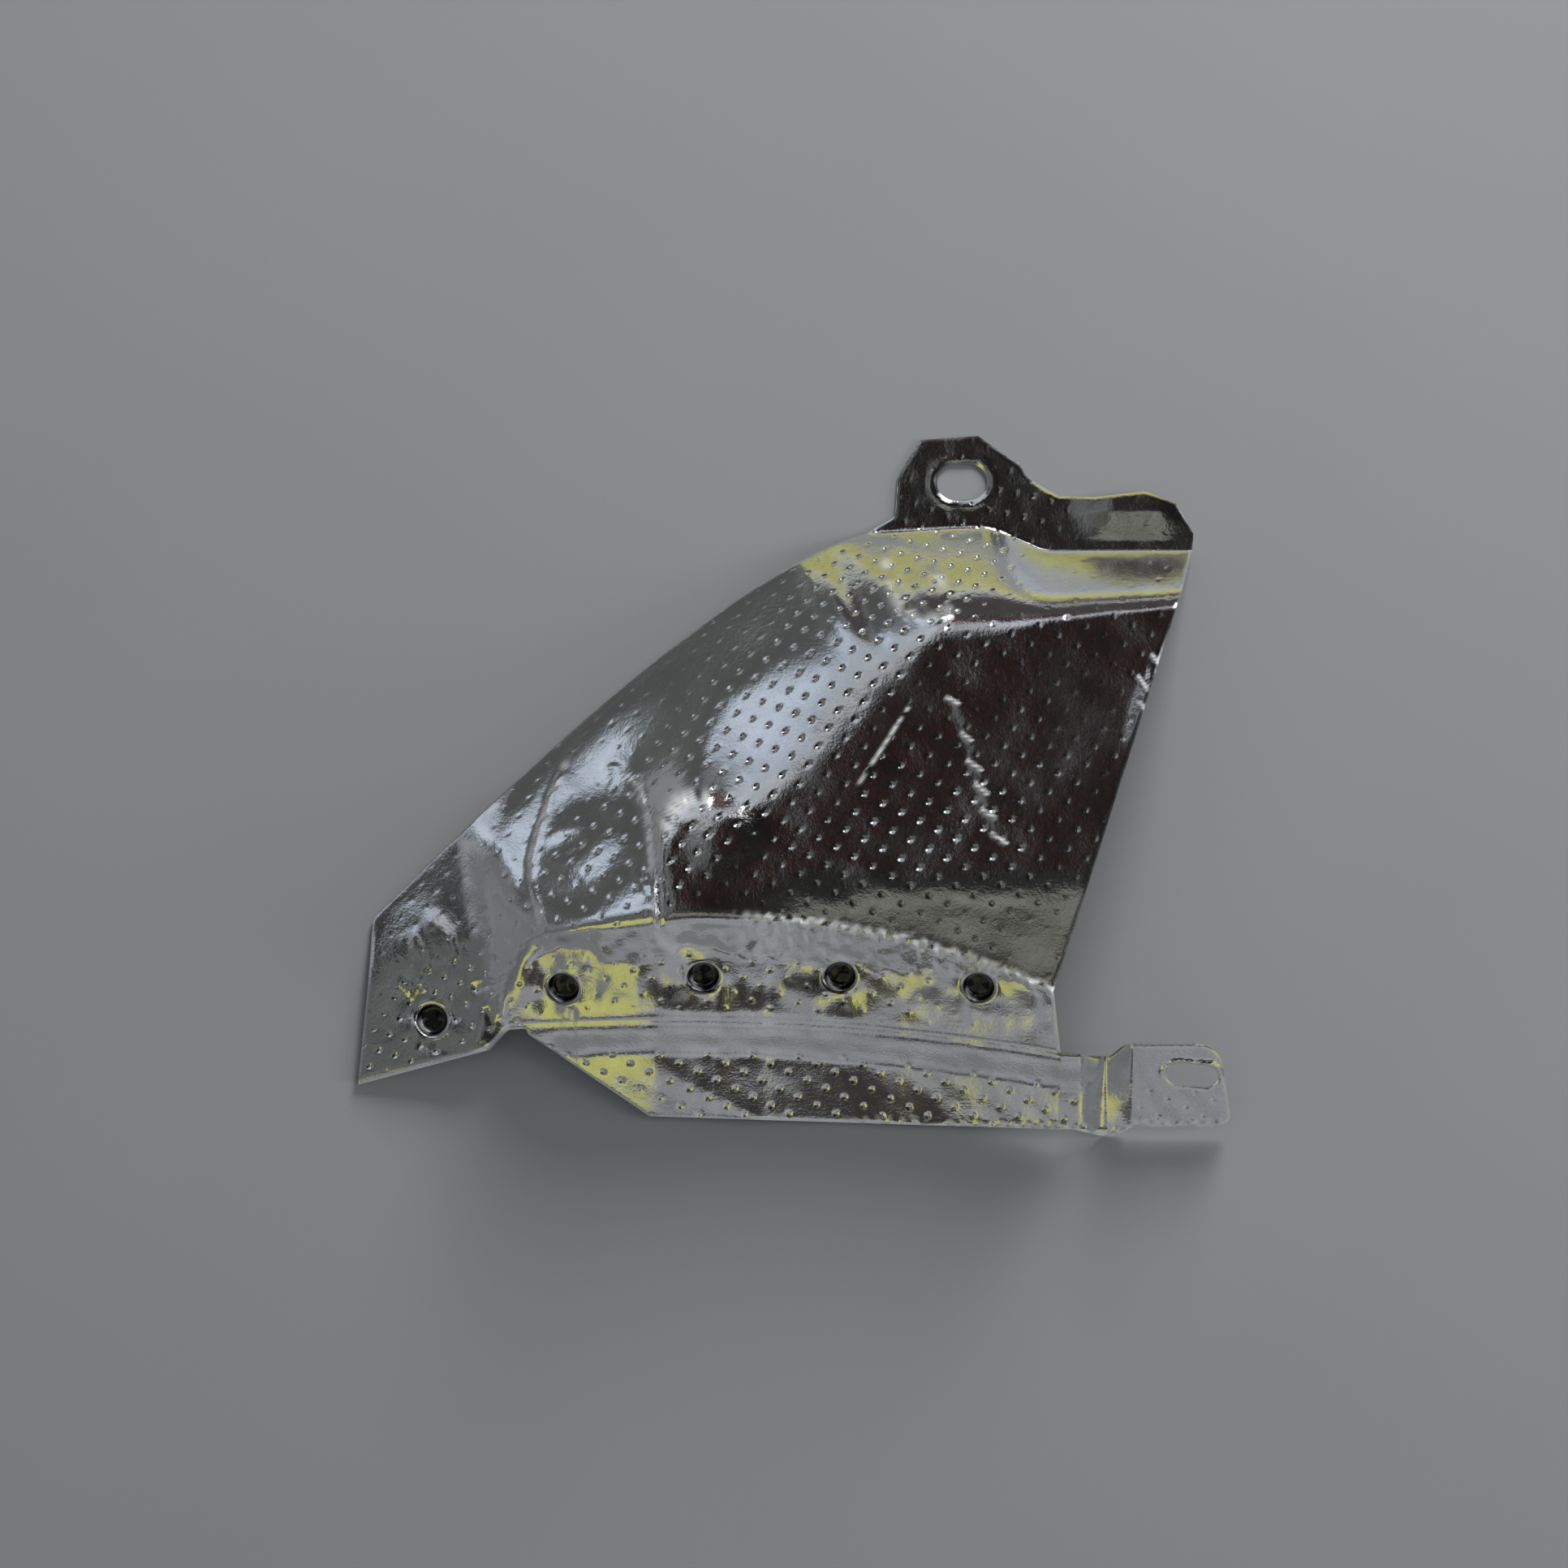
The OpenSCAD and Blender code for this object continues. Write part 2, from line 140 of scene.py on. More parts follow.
# Curves of the hood seen from above: parabolas for the fold and the cut edge, eased steps for the flange
def foldLineY(x):
    return hood["foldY"] - (x - hood["foldMid"]) ** 2 / (2 * hood["foldR"])


def cutArcY(x):
    return hood["cutY"] - (x - hood["cutMid"]) ** 2 / (2 * hood["cutR"])


def cutEdgeY(x):
    low = mix(cornerY, notchY, (x - leftX) / (notchX[0] - leftX))
    step = mix(notchY, cutArcY(notchX[1]), (x - notchX[0]) / (notchX[1] - notchX[0]))
    return np.where(x < notchX[0], low, np.where(x < notchX[1], step, cutArcY(x)))


def flangeLineY(x):
    ear = hood["earX"]
    lifted = rimBack[1] + hood["flangeLift"] * ease(ear + hood["liftAt"][0], ear + hood["liftAt"][1], x)
    return mix(lifted, faceRight[1], ease(ear + hood["stepAt"][0], ear + hood["stepAt"][1], x))


# Main face: a plane falling to the back, with its foot bent forward on the right half
def mainHeight(x, y):
    foot = tand(hood["footTilt"]) * ease(hood["footFrom"], hood["footTo"], x)
    footY = hood["foldY"] + hood["footAhead"]
    plane = hood["crown"] - tand(hood["backFall"]) * (y - hood["foldY"])
    return plane - foot * ramp(footY - y, hood["footRound"])


def flankDistance(x, y):
    fromX, fromY = leftX + hood["flankFrom"][0], hood["foldY"] + hood["flankFrom"][1]
    return (y - fromY) * cosd(hood["flankAngle"]) - (x - fromX) * sind(hood["flankAngle"])


# Drop of the flank: a wide steep bend on the right, an earlier and tighter one to the left of the crease
def flankDrop(x, y):
    d = flankDistance(x, y)
    bulge = bell(np.hypot(x - hood["bulgeX"], y - hood["bulgeY"]), hood["bulgeR"])
    rounding = mix(hood["flankRound"], hood["bulgeRound"], bulge)
    right = tand(hood["flankTilt"]) * ramp(d - hood["flankShift"] - hood["bulgeOut"] * bulge, rounding)
    left = tand(hood["leftTilt"]) * ramp(d, hood["leftRound"])
    spread = mix(*hood["creaseHalf"], ease(*hood["creaseSpread"], y))
    spread = spread + hood["creaseFoot"] * ease(*hood["creaseFootY"], y)
    beside = ease(hood["creaseX"] + spread, hood["creaseX"] - spread, x)
    beside = beside * (1 - ease(*hood["creaseFade"], d))
    return mix(right, left, beside)


def flankHeight(x, y):
    return mainHeight(x, y) - flankDrop(x, y)


# Back wall: a straight fall from the shoulder to the flange
def backHeight(x, y):
    low = flangeLineY(x)
    shoulder = hood["shoulderY"] + hood["shoulderSlope"] * (x - hood["earX"])
    return shield["panel"] + (mainHeight(x, shoulder) - shield["panel"]) * (low - y) / (low - shoulder)


def bandHeight(x, y):
    fold = foldLineY(x)
    return flankHeight(x, fold) - tand(hood["bandTilt"]) * (fold - y)


def toeHeight(x, y):
    stack = shield["panel"] + shield["gap"] + shield["strip"]
    rise = stack * math.hypot(hood["toeSlope"], 1) + hood["toeSeat"] + hood["toeSlope"] * (x - leftX)
    fall = hood["toeFall"] * ramp(y - foldLineY(x) - hood["toeBehind"], hood["toeBend"])
    return softMin(rise, rise - hood["endSlope"] * (x - leftX - hood["toeEnd"]), hood["endRound"]) - fall


# The hood is the lowest of its faces, never under the toe or the table, with every bend rounded
def hoodHeight(x, y):
    foldRound = mix(hood["leftFoldRound"], hood["bandRound"], ease(*hood["foldRoundX"], x))
    h = softMin(flankHeight(x, y), bandHeight(x, y), foldRound)
    end = hood["crown"] - hood["endDrop"] + hood["endSlope"] * (x - leftX - hood["endAt"])
    h = softMin(h, end, hood["endRound"])
    h = softMin(h, backHeight(x, y), hood["backRound"])
    return softMax(softMax(h, toeHeight(x, y), hood["endRound"]), shield["panel"], hood["seatRound"])


# Creases and ridges from handling: width, depth (+ is raised), height step across, raggedness and wear,
# then where each one runs
creases = [
    (0.8, 0.75, 0.3, 0.2, 0.35,
     [(-56.5, 92), (-58.7, 87.4), (-62.3, 77.4), (-64.9, 69), (-64.7, 63.4), (-62.3, 54.4), (-60.7, 49.2)]),
    (0.75, 0.9, -0.5, 0.3, 0.4,
     [(-47.7, 91.2), (-44.5, 91.4), (-37.9, 86.4), (-35.7, 78.4), (-34.9, 69), (-34.5, 61.4), (-34.1, 50.2)]),
    (0.8, 0.45, 0.0, 0.5, 0.0, [(-39.7, 67), (-36.3, 61.6), (-34.6, 58)]),
    (0.7, 0.45, 0.0, 0.5, 0.0, [(-36.7, 87.2), (-34.2, 81), (-33.7, 76.2)]),
    (2.2, 0.7, 0.0, 0.3, 0.8, [(-31.3, 77.4), (-28.5, 82.2), (-24, 83.6), (-19.7, 83.2)]),
    (0.45, -0.9, 0.0, 0.3, 0.0,
     [(-46.7, 90.6), (-43.3, 90.2), (-36.7, 85.2), (-34.5, 77.9), (-33.7, 69), (-33.3, 61.4), (-32.9, 50.2)]),
    (0.4, 0.16, 0.0, 0.1, 0.9, [(27.9, 105.6), (21.3, 95.4), (14.7, 85.2)]),
    (0.7, 0.04, 0.08, 0.5, 0.0,
     [(38.7, 109.8), (40.2, 104), (42.7, 98.2), (43.6, 93), (45.3, 88.2), (46.6, 83), (48.7, 78.2),
      (51.9, 71.2)]),
    (0.9, -0.6, 0.2, 0.3, 0.0, [(-80.1, 36.6), (-75.5, 37.6), (-71.5, 37.8)]),
    (1.0, 0.6, 0.0, 0.3, 0.0, [(-70.9, 37), (-71.8, 33), (-72.3, 28.6)]),
    (0.5, -0.25, 0.0, 0.1, 0.0, [(-87.7, 20.8), (-81, 21.8), (-74.9, 22.6), (-72.3, 21.4)]),
    (1.6, 0.35, 0.0, 0.7, 0.0, [(-95.5, 51), (-93, 46), (-90.5, 40.5)]),
    (1.8, 0.3, -0.2, 0.7, 0.0, [(-91, 55), (-86, 50), (-84, 43)]),
    (1.1, 0.4, 0.0, 0.6, 0.0, [(-99, 38), (-94, 36.5), (-90, 38)]),
    (1.4, 0.35, 0.0, 0.4, 0.0, [(-60, 40), (-56, 43.4), (-50, 44)]),
    (1.2, 0.55, -0.25, 0.4, 0.3,
     [(22.7, 141.4), (23.3, 135.2), (26.3, 129.2), (32.3, 127.4), (37.3, 128.8), (38.7, 132.2), (36.3, 137.2),
      (31.3, 140.2)]),
]
# Short bright folds, like stitches, where the main face buckled: start and end of each
nicks = [((37.6, 108.2), (40.4, 106.6)), ((41.2, 99.4), (43.6, 97.6)), ((42.7, 92.6), (46.0, 90.4)),
         ((44.6, 87.0), (47.4, 84.4)), ((46.2, 80.6), (49.4, 78.6)), ((48.6, 74.8), (52.2, 72.4)),
         ((84.6, 113.4), (86.6, 110.2)), ((85.4, 106.2), (88.0, 102.6)), ((88.0, 118.6), (90.0, 115.6))]
nickShape = {"width": 0.38, "depth": 0.26, "wear": 0.35, "scuff": 0.9}
# Dents: middle, half lengths, turn in degrees, depth (+ is raised)
dents = [
    ((-56.7, 72.1), (4.2, 2.4), 15, -0.5), ((33.3, 133.0), (4.5, 6.5), 20, 0.7),
    ((27.0, 138.0), (3.0, 6.0), 10, -0.5), ((86.5, 107.0), (2.5, 9.0), -20, 0.6),
    ((91.5, 118.0), (2.0, 6.0), -20, -0.5), ((-75.0, 30.2), (1.2, 2.6), 10, -0.35),
    ((-54.5, 30.4), (1.1, 1.6), 0, -0.4), ((-96.0, 50.0), (9.0, 7.0), 30, 0.4),
    ((59.0, 162.5), (2.4, 2.0), 40, 0.5), ((-8.0, 100.0), (15.0, 9.0), 45, -0.8),
    ((-53.0, 72.5), (11.0, 8.0), 45, 1.9), ((8.0, 133.0), (4.0, 12.0), 28, 1.0),
    ((16.0, 133.0), (3.5, 12.0), 24, -1.1), ((-17.0, 74.0), (8.0, 7.0), 30, 0.7),
]
# The right end of the flange leans forward a little: place, half lengths and rise over its depth
flangeLean = {"at": 84.5, "half": 17.0, "rise": 0.2, "from": 147.0, "to": 154.5}
# Small waves of the flange and the ear: height and length
flangeWaves = {"height": 0.032, "length": 6.5}
# Gentle unevenness of the whole panel, and of the hand-sized areas
flankSwell = {"height": 0.25, "length": 36.0, "seed": 81}
unevenness = {"broad": 0.20, "broadLength": 46.0, "middle": 0.07, "middleLength": 15.0}
# The ragged ridge along the front fold, whose scuff is partly wear and partly a painted highlight, the painted
# highlight arc inside each clinch cup, and the puckers round the clinch points
foldRidge = {"height": 0.75, "width": 0.9, "sway": 0.5, "from": -20.0, "full": 6.0, "scuff": 1.0}
cupHighlightArc = {"toward": -140.0, "radius": 2.9, "width": 0.42, "scuff": 0.8}
pucker = {"inner": 4.9, "spread": 4.4, "depth": 0.5, "ripple": 0.3}
# The clinch points lie in a flatter panel of the band: its wavy upper edge as places and distances
# behind the cut edge, its lower edge, how much flatter it is and where it fades out to the right
bandPanel = {"x": [-72, -68.8, -63.5, -58, -50, -47.6, -40, -33.5, -27, -22, -16, -9.6, -0.8, 8, 30],
             "upper": [2.5, 9.7, 16.4, 18.3, 18.0, 14.8, 13.7, 15.4, 18.1, 18.1, 16.4, 14.9, 15.3, 15.0, 14.0],
             "lower": 2.0, "flatter": 0.17, "round": 0.7, "ragged": 0.6, "fade": (42.0, 14.0)}
bandBuckle = {"depth": 0.3, "length": 14.0, "row": 9.5, "half": 8.0, "fine": 0.06, "fineLength": 4.5,
              "crumple": 0.10, "crumpleLength": 2.4, "crumpleRow": -3.5}
clinchShares = [(0.105, 10.1), (0.2933, 8.34), (0.4931, 10.55), (0.687, 12.0), (0.8834, 12.95)]
clinches = [(mix(leftX, bandEndX, s), float(cutEdgeY(np.array(mix(leftX, bandEndX, s))) + d))
            for s, d in clinchShares]


# How far the flatter panel lies below the band: it sinks by its flatness up to its upper edge, and comes back
# evenly from there to the fold
def panelDrop(x, y):
    q = y - cutEdgeY(x)
    upper = np.interp(x, bandPanel["x"], bandPanel["upper"]) + bandPanel["ragged"] * waves(x, y, 78, 5.0)
    fold = foldLineY(x) - cutEdgeY(x)
    bends = ramp(q - bandPanel["lower"], bandPanel["round"]) - ramp(q - upper, bandPanel["round"])
    back = 1 - np.clip((q - upper) / np.maximum(fold - upper, 2.0), 0, 1)
    return bandPanel["flatter"] * bends * back * ease(*bandPanel["fade"], x)


# The ridge's bell across the fold, swaying from side to side along it
def foldBell(x, y):
    sway = foldRidge["sway"] * waves(x, y * 0.2, 21, 2.6)
    return bell(y - foldLineY(x) - sway, foldRidge["width"]) * ease(foldRidge["from"], foldRidge["full"], x)


# Where the shine is dulled so that it catches the lamp, 0 to 1: rubbed nicks and scratches, the fold ridge,
# whose rubbed white also stands in for a painted highlight, and a painted highlight arc on the lower left
# inside each cup
def scuffsAndHighlights(x, y):
    patchy = np.clip(0.8 + 0.9 * waves(x, y, 72, 3.2), 0, 1)
    worn = foldRidge["scuff"] * np.minimum(1, 2.2 * foldBell(x, y - 0.3)) * patchy
    # Painted highlight: a dulled white arc on the lower left inside each clinch cup, on the side where the
    # highlight falls
    for cx, cy in clinches:
        turned = np.cos(np.arctan2(y - cy, x - cx) - math.radians(cupHighlightArc["toward"]))
        arc = bell(np.hypot(x - cx, y - cy) - cupHighlightArc["radius"], cupHighlightArc["width"]) * ease(0.55, 0.9, turned)
        worn = np.maximum(worn, cupHighlightArc["scuff"] * arc)
    for width, depth, step, ragged, wear, path in creases:
        if wear:
            d, side, share = pathDistance(x, y, path)
            dashes = np.clip(0.6 + waves(share * 40, share, 73, 7.0), 0, 1)
            worn = np.maximum(worn, wear * bell(d, width) * dashes)
    for (ax, ay), (bx, by) in nicks:
        d, side, share = pathDistance(x, y, [(ax, ay), (bx, by)])
        worn = np.maximum(worn, nickShape["scuff"] * bell(d, nickShape["wear"]))
    return worn


# What the years of handling add to the hood's height: crease bells, dents, puckers and waves
def handling(x, y):
    h = unevenness["broad"] * waves(x, y, 3, unevenness["broadLength"])
    h = h + unevenness["middle"] * waves(x, y, 5, unevenness["middleLength"])
    swell = flankSwell["height"] * ease(-4, 14, flankDistance(x, y)) * ease(-70, -50, x)
    h = h + swell * waves(x, y, flankSwell["seed"], flankSwell["length"])
    flat = ease(rimBack[1] + 4, rimBack[1] - 2, y)
    h = h * mix(0.25, 1.0, flat)
    wobble = waves(x, y, 11, 3.0)
    for width, depth, step, ragged, wear, path in creases:
        d, side, share = pathDistance(x, y, path)
        ends = ease(0, 0.12, share) * ease(1, 0.88, share)
        h = h + depth * ends * bell(d + ragged * wobble, width) * (0.75 + 0.25 * waves(x, y, 12, 4.0))
        h = h + step * ends * side * (1 - bell(d, width)) * np.exp(-d / 5.0)
    for (ax, ay), (bx, by) in nicks:
        d, side, share = pathDistance(x, y, [(ax, ay), (bx, by)])
        h = h + nickShape["depth"] * bell(d, nickShape["width"])
    onBand = ease(-70, -62, x) * ease(0.5, -3.0, y - foldLineY(x))
    band = onBand * bell(y - cutEdgeY(x) - bandBuckle["row"], bandBuckle["half"])
    h = h - onBand * panelDrop(x, y)
    h = h + bandBuckle["depth"] * band * waves(x, y, 71, bandBuckle["length"])
    crumpled = onBand * bell(y - foldLineY(x) - bandBuckle["crumpleRow"], 3.0)
    crumpled = crumpled * ease(-18, -8, x) * ease(45, 28, x)
    h = h + bandBuckle["crumple"] * crumpled * waves(x, y, 79, bandBuckle["crumpleLength"])
    h = h + bandBuckle["fine"] * band * waves(x, y, 75, bandBuckle["fineLength"])
    for at, size, turn, depth in dents:
        s, t = x - at[0], y - at[1]
        along = (s * cosd(turn) + t * sind(turn)) / size[0]
        across = (t * cosd(turn) - s * sind(turn)) / size[1]
        h = h + depth * np.exp(-(along ** 2 + across ** 2) ** 1.5)
    h = h + foldRidge["height"] * (0.6 + 0.7 * waves(x, y * 0.3, 22, 1.8)) * foldBell(x, y)
    for k, (cx, cy) in enumerate(clinches):
        d = np.hypot(x - cx, y - cy)
        lobes = np.sin(np.arctan2(y - cy, x - cx) * 3 + k * 1.7)
        ring = bell(d - pucker["inner"], pucker["spread"]) * ease(0, 3, d)
        h = h - (pucker["depth"] + pucker["ripple"] * lobes) * ring
    return h


# The flange and the ear: a leaning patch at the right end, and small waves
def flangeMarks(x, y):
    half, start = flangeLean["half"], flangeLean["from"]
    leaning = flangeLean["rise"] * ease(half, 0.3 * half, np.abs(x - flangeLean["at"]))
    climb = np.clip(y, start, flangeLean["to"]) - start
    ripples = flangeWaves["height"] * waves(x, y * 1.4, 74, flangeWaves["length"])
    return leaning * climb + ripples * ease(0, 2, y - flangeLineY(x))


def hoodShape(x, y):
    high = hoodHeight(x, y)
    return high + handling(x, y) * ease(0.0, 6.0, high - 0.2 * shield["panel"] + 1.2) + flangeMarks(x, y)


# Length of the sheet's normal per unit height: the square root of 1 + the squared slopes
def lean(x, y):
    e = 0.05
    sx = (hoodHeight(x + e, y) - hoodHeight(x - e, y)) / (2 * e)
    sy = (hoodHeight(x, y + e) - hoodHeight(x, y - e)) / (2 * e)
    return np.sqrt(sx ** 2 + sy ** 2 + 1)


def underHood(x, y):
    return hoodShape(x, y) - (shield["panel"] + shield["gap"]) * lean(x, y)


# Embossed dimples: square lattice, its turn, pit radius and depth in millimetres
dimple = {"pitch": 5.07, "turn": -26.6, "radius": 1.05, "depth": 0.26, "wander": 0.35}


# Flat-sheet place of each point: plan place plus the length gained on flank, wall and band, then turned
# to the lattice, in pitches
def sheetMap(x, y, strip=False):
    u, v = x.copy(), y.copy()
    if strip:
        v = y + (1 / cosd(23) - 1) * (y - cutEdgeY(np.minimum(x, bandEndX)))
    else:
        gain = (1 / cosd(hood["leftTilt"]) - 1) * ramp(flankDistance(x, y), hood["flankRound"])
        u = u - gain * sind(hood["flankAngle"])
        v = v + gain * cosd(hood["flankAngle"])
        shoulder = hood["shoulderY"] + hood["shoulderSlope"] * (x - hood["earX"])
        v = v + 0.5 * ramp(np.minimum(y, flangeLineY(x)) - shoulder, 2.0)
        v = v - (1 / cosd(hood["bandTilt"]) - 1) * ramp(foldLineY(x) - y, 1.0)
    u = u + dimple["wander"] * waves(x, y, 31, 34.0)
    v = v + dimple["wander"] * waves(x, y, 32, 34.0)
    c, s = cosd(-dimple["turn"]), sind(-dimple["turn"])
    return np.stack([(u * c - v * s) / dimple["pitch"], (u * s + v * c) / dimple["pitch"]], -1)


# Depth of the pits at each flat-sheet place: a rounded bowl inside the radius of each lattice point
def dimplePits(lattice):
    off = (lattice - np.floor(lattice) - 0.5) * dimple["pitch"]
    d = np.hypot(off[..., 0], off[..., 1])
    return -dimple["depth"] * ease(dimple["radius"], 0.0, d)


# A sheet is a grid of cells, rings that fill its holes, and a second face at the sheet's thickness;
# this many cells of the top face lie along one cell of the lower face
coarse = 3


# Grid indices once round a rectangle of cells, counter-clockwise seen from above
def ringOf(i0, i1, j0, j1, cols):
    return np.concatenate([i0 * cols + np.arange(j0, j1), np.arange(i0, i1) * cols + j1,
                           i1 * cols + np.arange(j1, j0, -1), np.arange(i1, i0, -1) * cols + j0])


# Rectangle of cells, in whole coarse cells, that holds the circle or box of that half size round a place
def rectangleRound(grid, at, half):
    inside = (np.abs(grid[..., 0] - at[0]) < half[0]) & (np.abs(grid[..., 1] - at[1]) < half[1])
    i, j = np.nonzero(inside)
    return (int(i.min() // coarse * coarse), int(-(-i.max() // coarse) * coarse),
            int(j.min() // coarse * coarse), int(-(-j.max() // coarse) * coarse))


# A new sheet over a grid of points seen from above; keep says which cells are there
def startSheet(grid, keep, shape):
    z = shape(grid[..., 0], grid[..., 1])
    return {"cols": grid.shape[1], "keep": keep, "shape": shape, "grid": grid,
            "points": [np.dstack([grid, z]).reshape(-1, 3)], "count": grid.shape[0] * grid.shape[1],
            "both": []}


# Rings of points seen from above, joined to a ring of the grid and to each other; depth sinks a ring
# along the axis, and a closed patch ends in one middle point
def addRings(sheet, ring, plan, depth, axis, close):
    k, n = plan.shape[:2]
    z = sheet["shape"](plan[..., 0], plan[..., 1])
    points = np.dstack([plan, z]).reshape(-1, 3) - np.repeat(depth, n)[:, None] * axis
    index = sheet["count"] + np.arange(k * n).reshape(k, n)
    loops = np.vstack([ring, index])
    turned = np.roll(loops, -1, 1)
    sheet["both"].append(np.stack([loops[:-1], turned[:-1], turned[1:], loops[1:]], -1).reshape(-1, 4))
    sheet["points"].append(points)
    sheet["count"] += k * n
    if close:
        middle = points[-n:].mean(0)
        sheet["points"].append(middle[None])
        sheet["both"].append(np.stack([index[-1], np.roll(index[-1], -1), np.full(n, sheet["count"])], -1))
        sheet["count"] += 1


# Cuts the rectangle out of the grid and returns its ring with the place of each of its points
def openCells(sheet, rectangle):
    i0, i1, j0, j1 = rectangle
    sheet["keep"][i0:i1, j0:j1] = False
    ring = ringOf(i0, i1, j0, j1, sheet["cols"])
    return ring, sheet["points"][0][ring][:, :2]


# A pressed cup: circles in the sheet's own plane, from the rectangle to the rim, down the wall and over the
# floor
def addCup(sheet, at, profile):
    ring, outer = openCells(sheet, rectangleRound(sheet["grid"], at, (5.4, 5.4)))
    x, y, e = np.array(at[0]), np.array(at[1]), 1.8
    sx = float(hoodHeight(x + e, y) - hoodHeight(x - e, y)) / (2 * e)
    sy = float(hoodHeight(x, y + e) - hoodHeight(x, y - e)) / (2 * e)
    axis = np.array([-sx, -sy, 1.0]) / math.sqrt(sx * sx + sy * sy + 1)
    first = np.array([1.0, 0.0, sx]) / math.hypot(1.0, sx)
    second = np.cross(axis, first)
    angle = np.arctan2(outer[:, 1] - at[1], outer[:, 0] - at[0])
    circle = np.cos(angle)[:, None] * first[:2] + np.sin(angle)[:, None] * second[:2]
    rim = np.array(at) + profile[0][0] * circle
    fill = [mix(outer, rim, s) for s in (0.3, 0.6, 0.85)]
    plan = np.array(fill + [np.array(at) + r * circle for r, _ in profile])
    depth = np.array([0.0] * len(fill) + [d for _, d in profile])
    addRings(sheet, ring, plan, depth, axis, True)


# Distance from each plan point to the nearest boundary point, worked out in blocks
def edgeDistance(points, edge):
    return np.concatenate([np.sqrt(((block[:, None] - edge[None]) ** 2).sum(-1).min(1))
                           for block in np.array_split(points, max(1, len(points) // 2000))])


# Lower-face cells: whole coarse cells, with the fine points kept on sides that border an edge or a patch
def coarseCells(keep, cols):
    big = keep.reshape(keep.shape[0] // coarse, coarse, keep.shape[1] // coarse, coarse).all((1, 3))
    pad = np.pad(big, 1)
    open4 = [~pad[:-2, 1:-1], ~pad[1:-1, 2:], ~pad[2:, 1:-1], ~pad[1:-1, :-2]]
    starts = [(0, 0, 0, 1), (0, coarse, 1, 0), (coarse, coarse, 0, -1), (coarse, 0, -1, 0)]
    faces = []
    for code in range(16):
        fine = [bool(code >> side & 1) for side in range(4)]
        pick = big.copy()
        for side in range(4):
            pick &= open4[side] == fine[side]
        i, j = np.nonzero(pick)
        walk = [(a + da * k, b + db * k) for side, (a, b, da, db) in enumerate(starts)
                for k in range(coarse if fine[side] else 1)]
        faces.append(np.stack([(i * coarse + a) * cols + j * coarse + b for a, b in walk], -1))
    return faces


# Normal of each point: the sum of the cross products of the diagonals of the faces round it
def pointNormals(points, faces):
    total = np.zeros_like(points)
    for f in faces:
        cross = np.cross(points[f[:, 2]] - points[f[:, 0]], points[f[:, -1]] - points[f[:, 1]])
        for corner in range(f.shape[1]):
            for axis in range(3):
                total[:, axis] += np.bincount(f[:, corner], cross[:, axis], len(points))
    return total / np.maximum(np.linalg.norm(total, axis=1), 1e-9)[:, None]


# 0 inside the cups and 1 beyond that distance from their middles
def nearClinch(points, reach):
    d = np.min([np.hypot(points[:, 0] - x, points[:, 1] - y) for x, y in clinches], axis=0)
    return ease(reach - 1.2, reach, d)


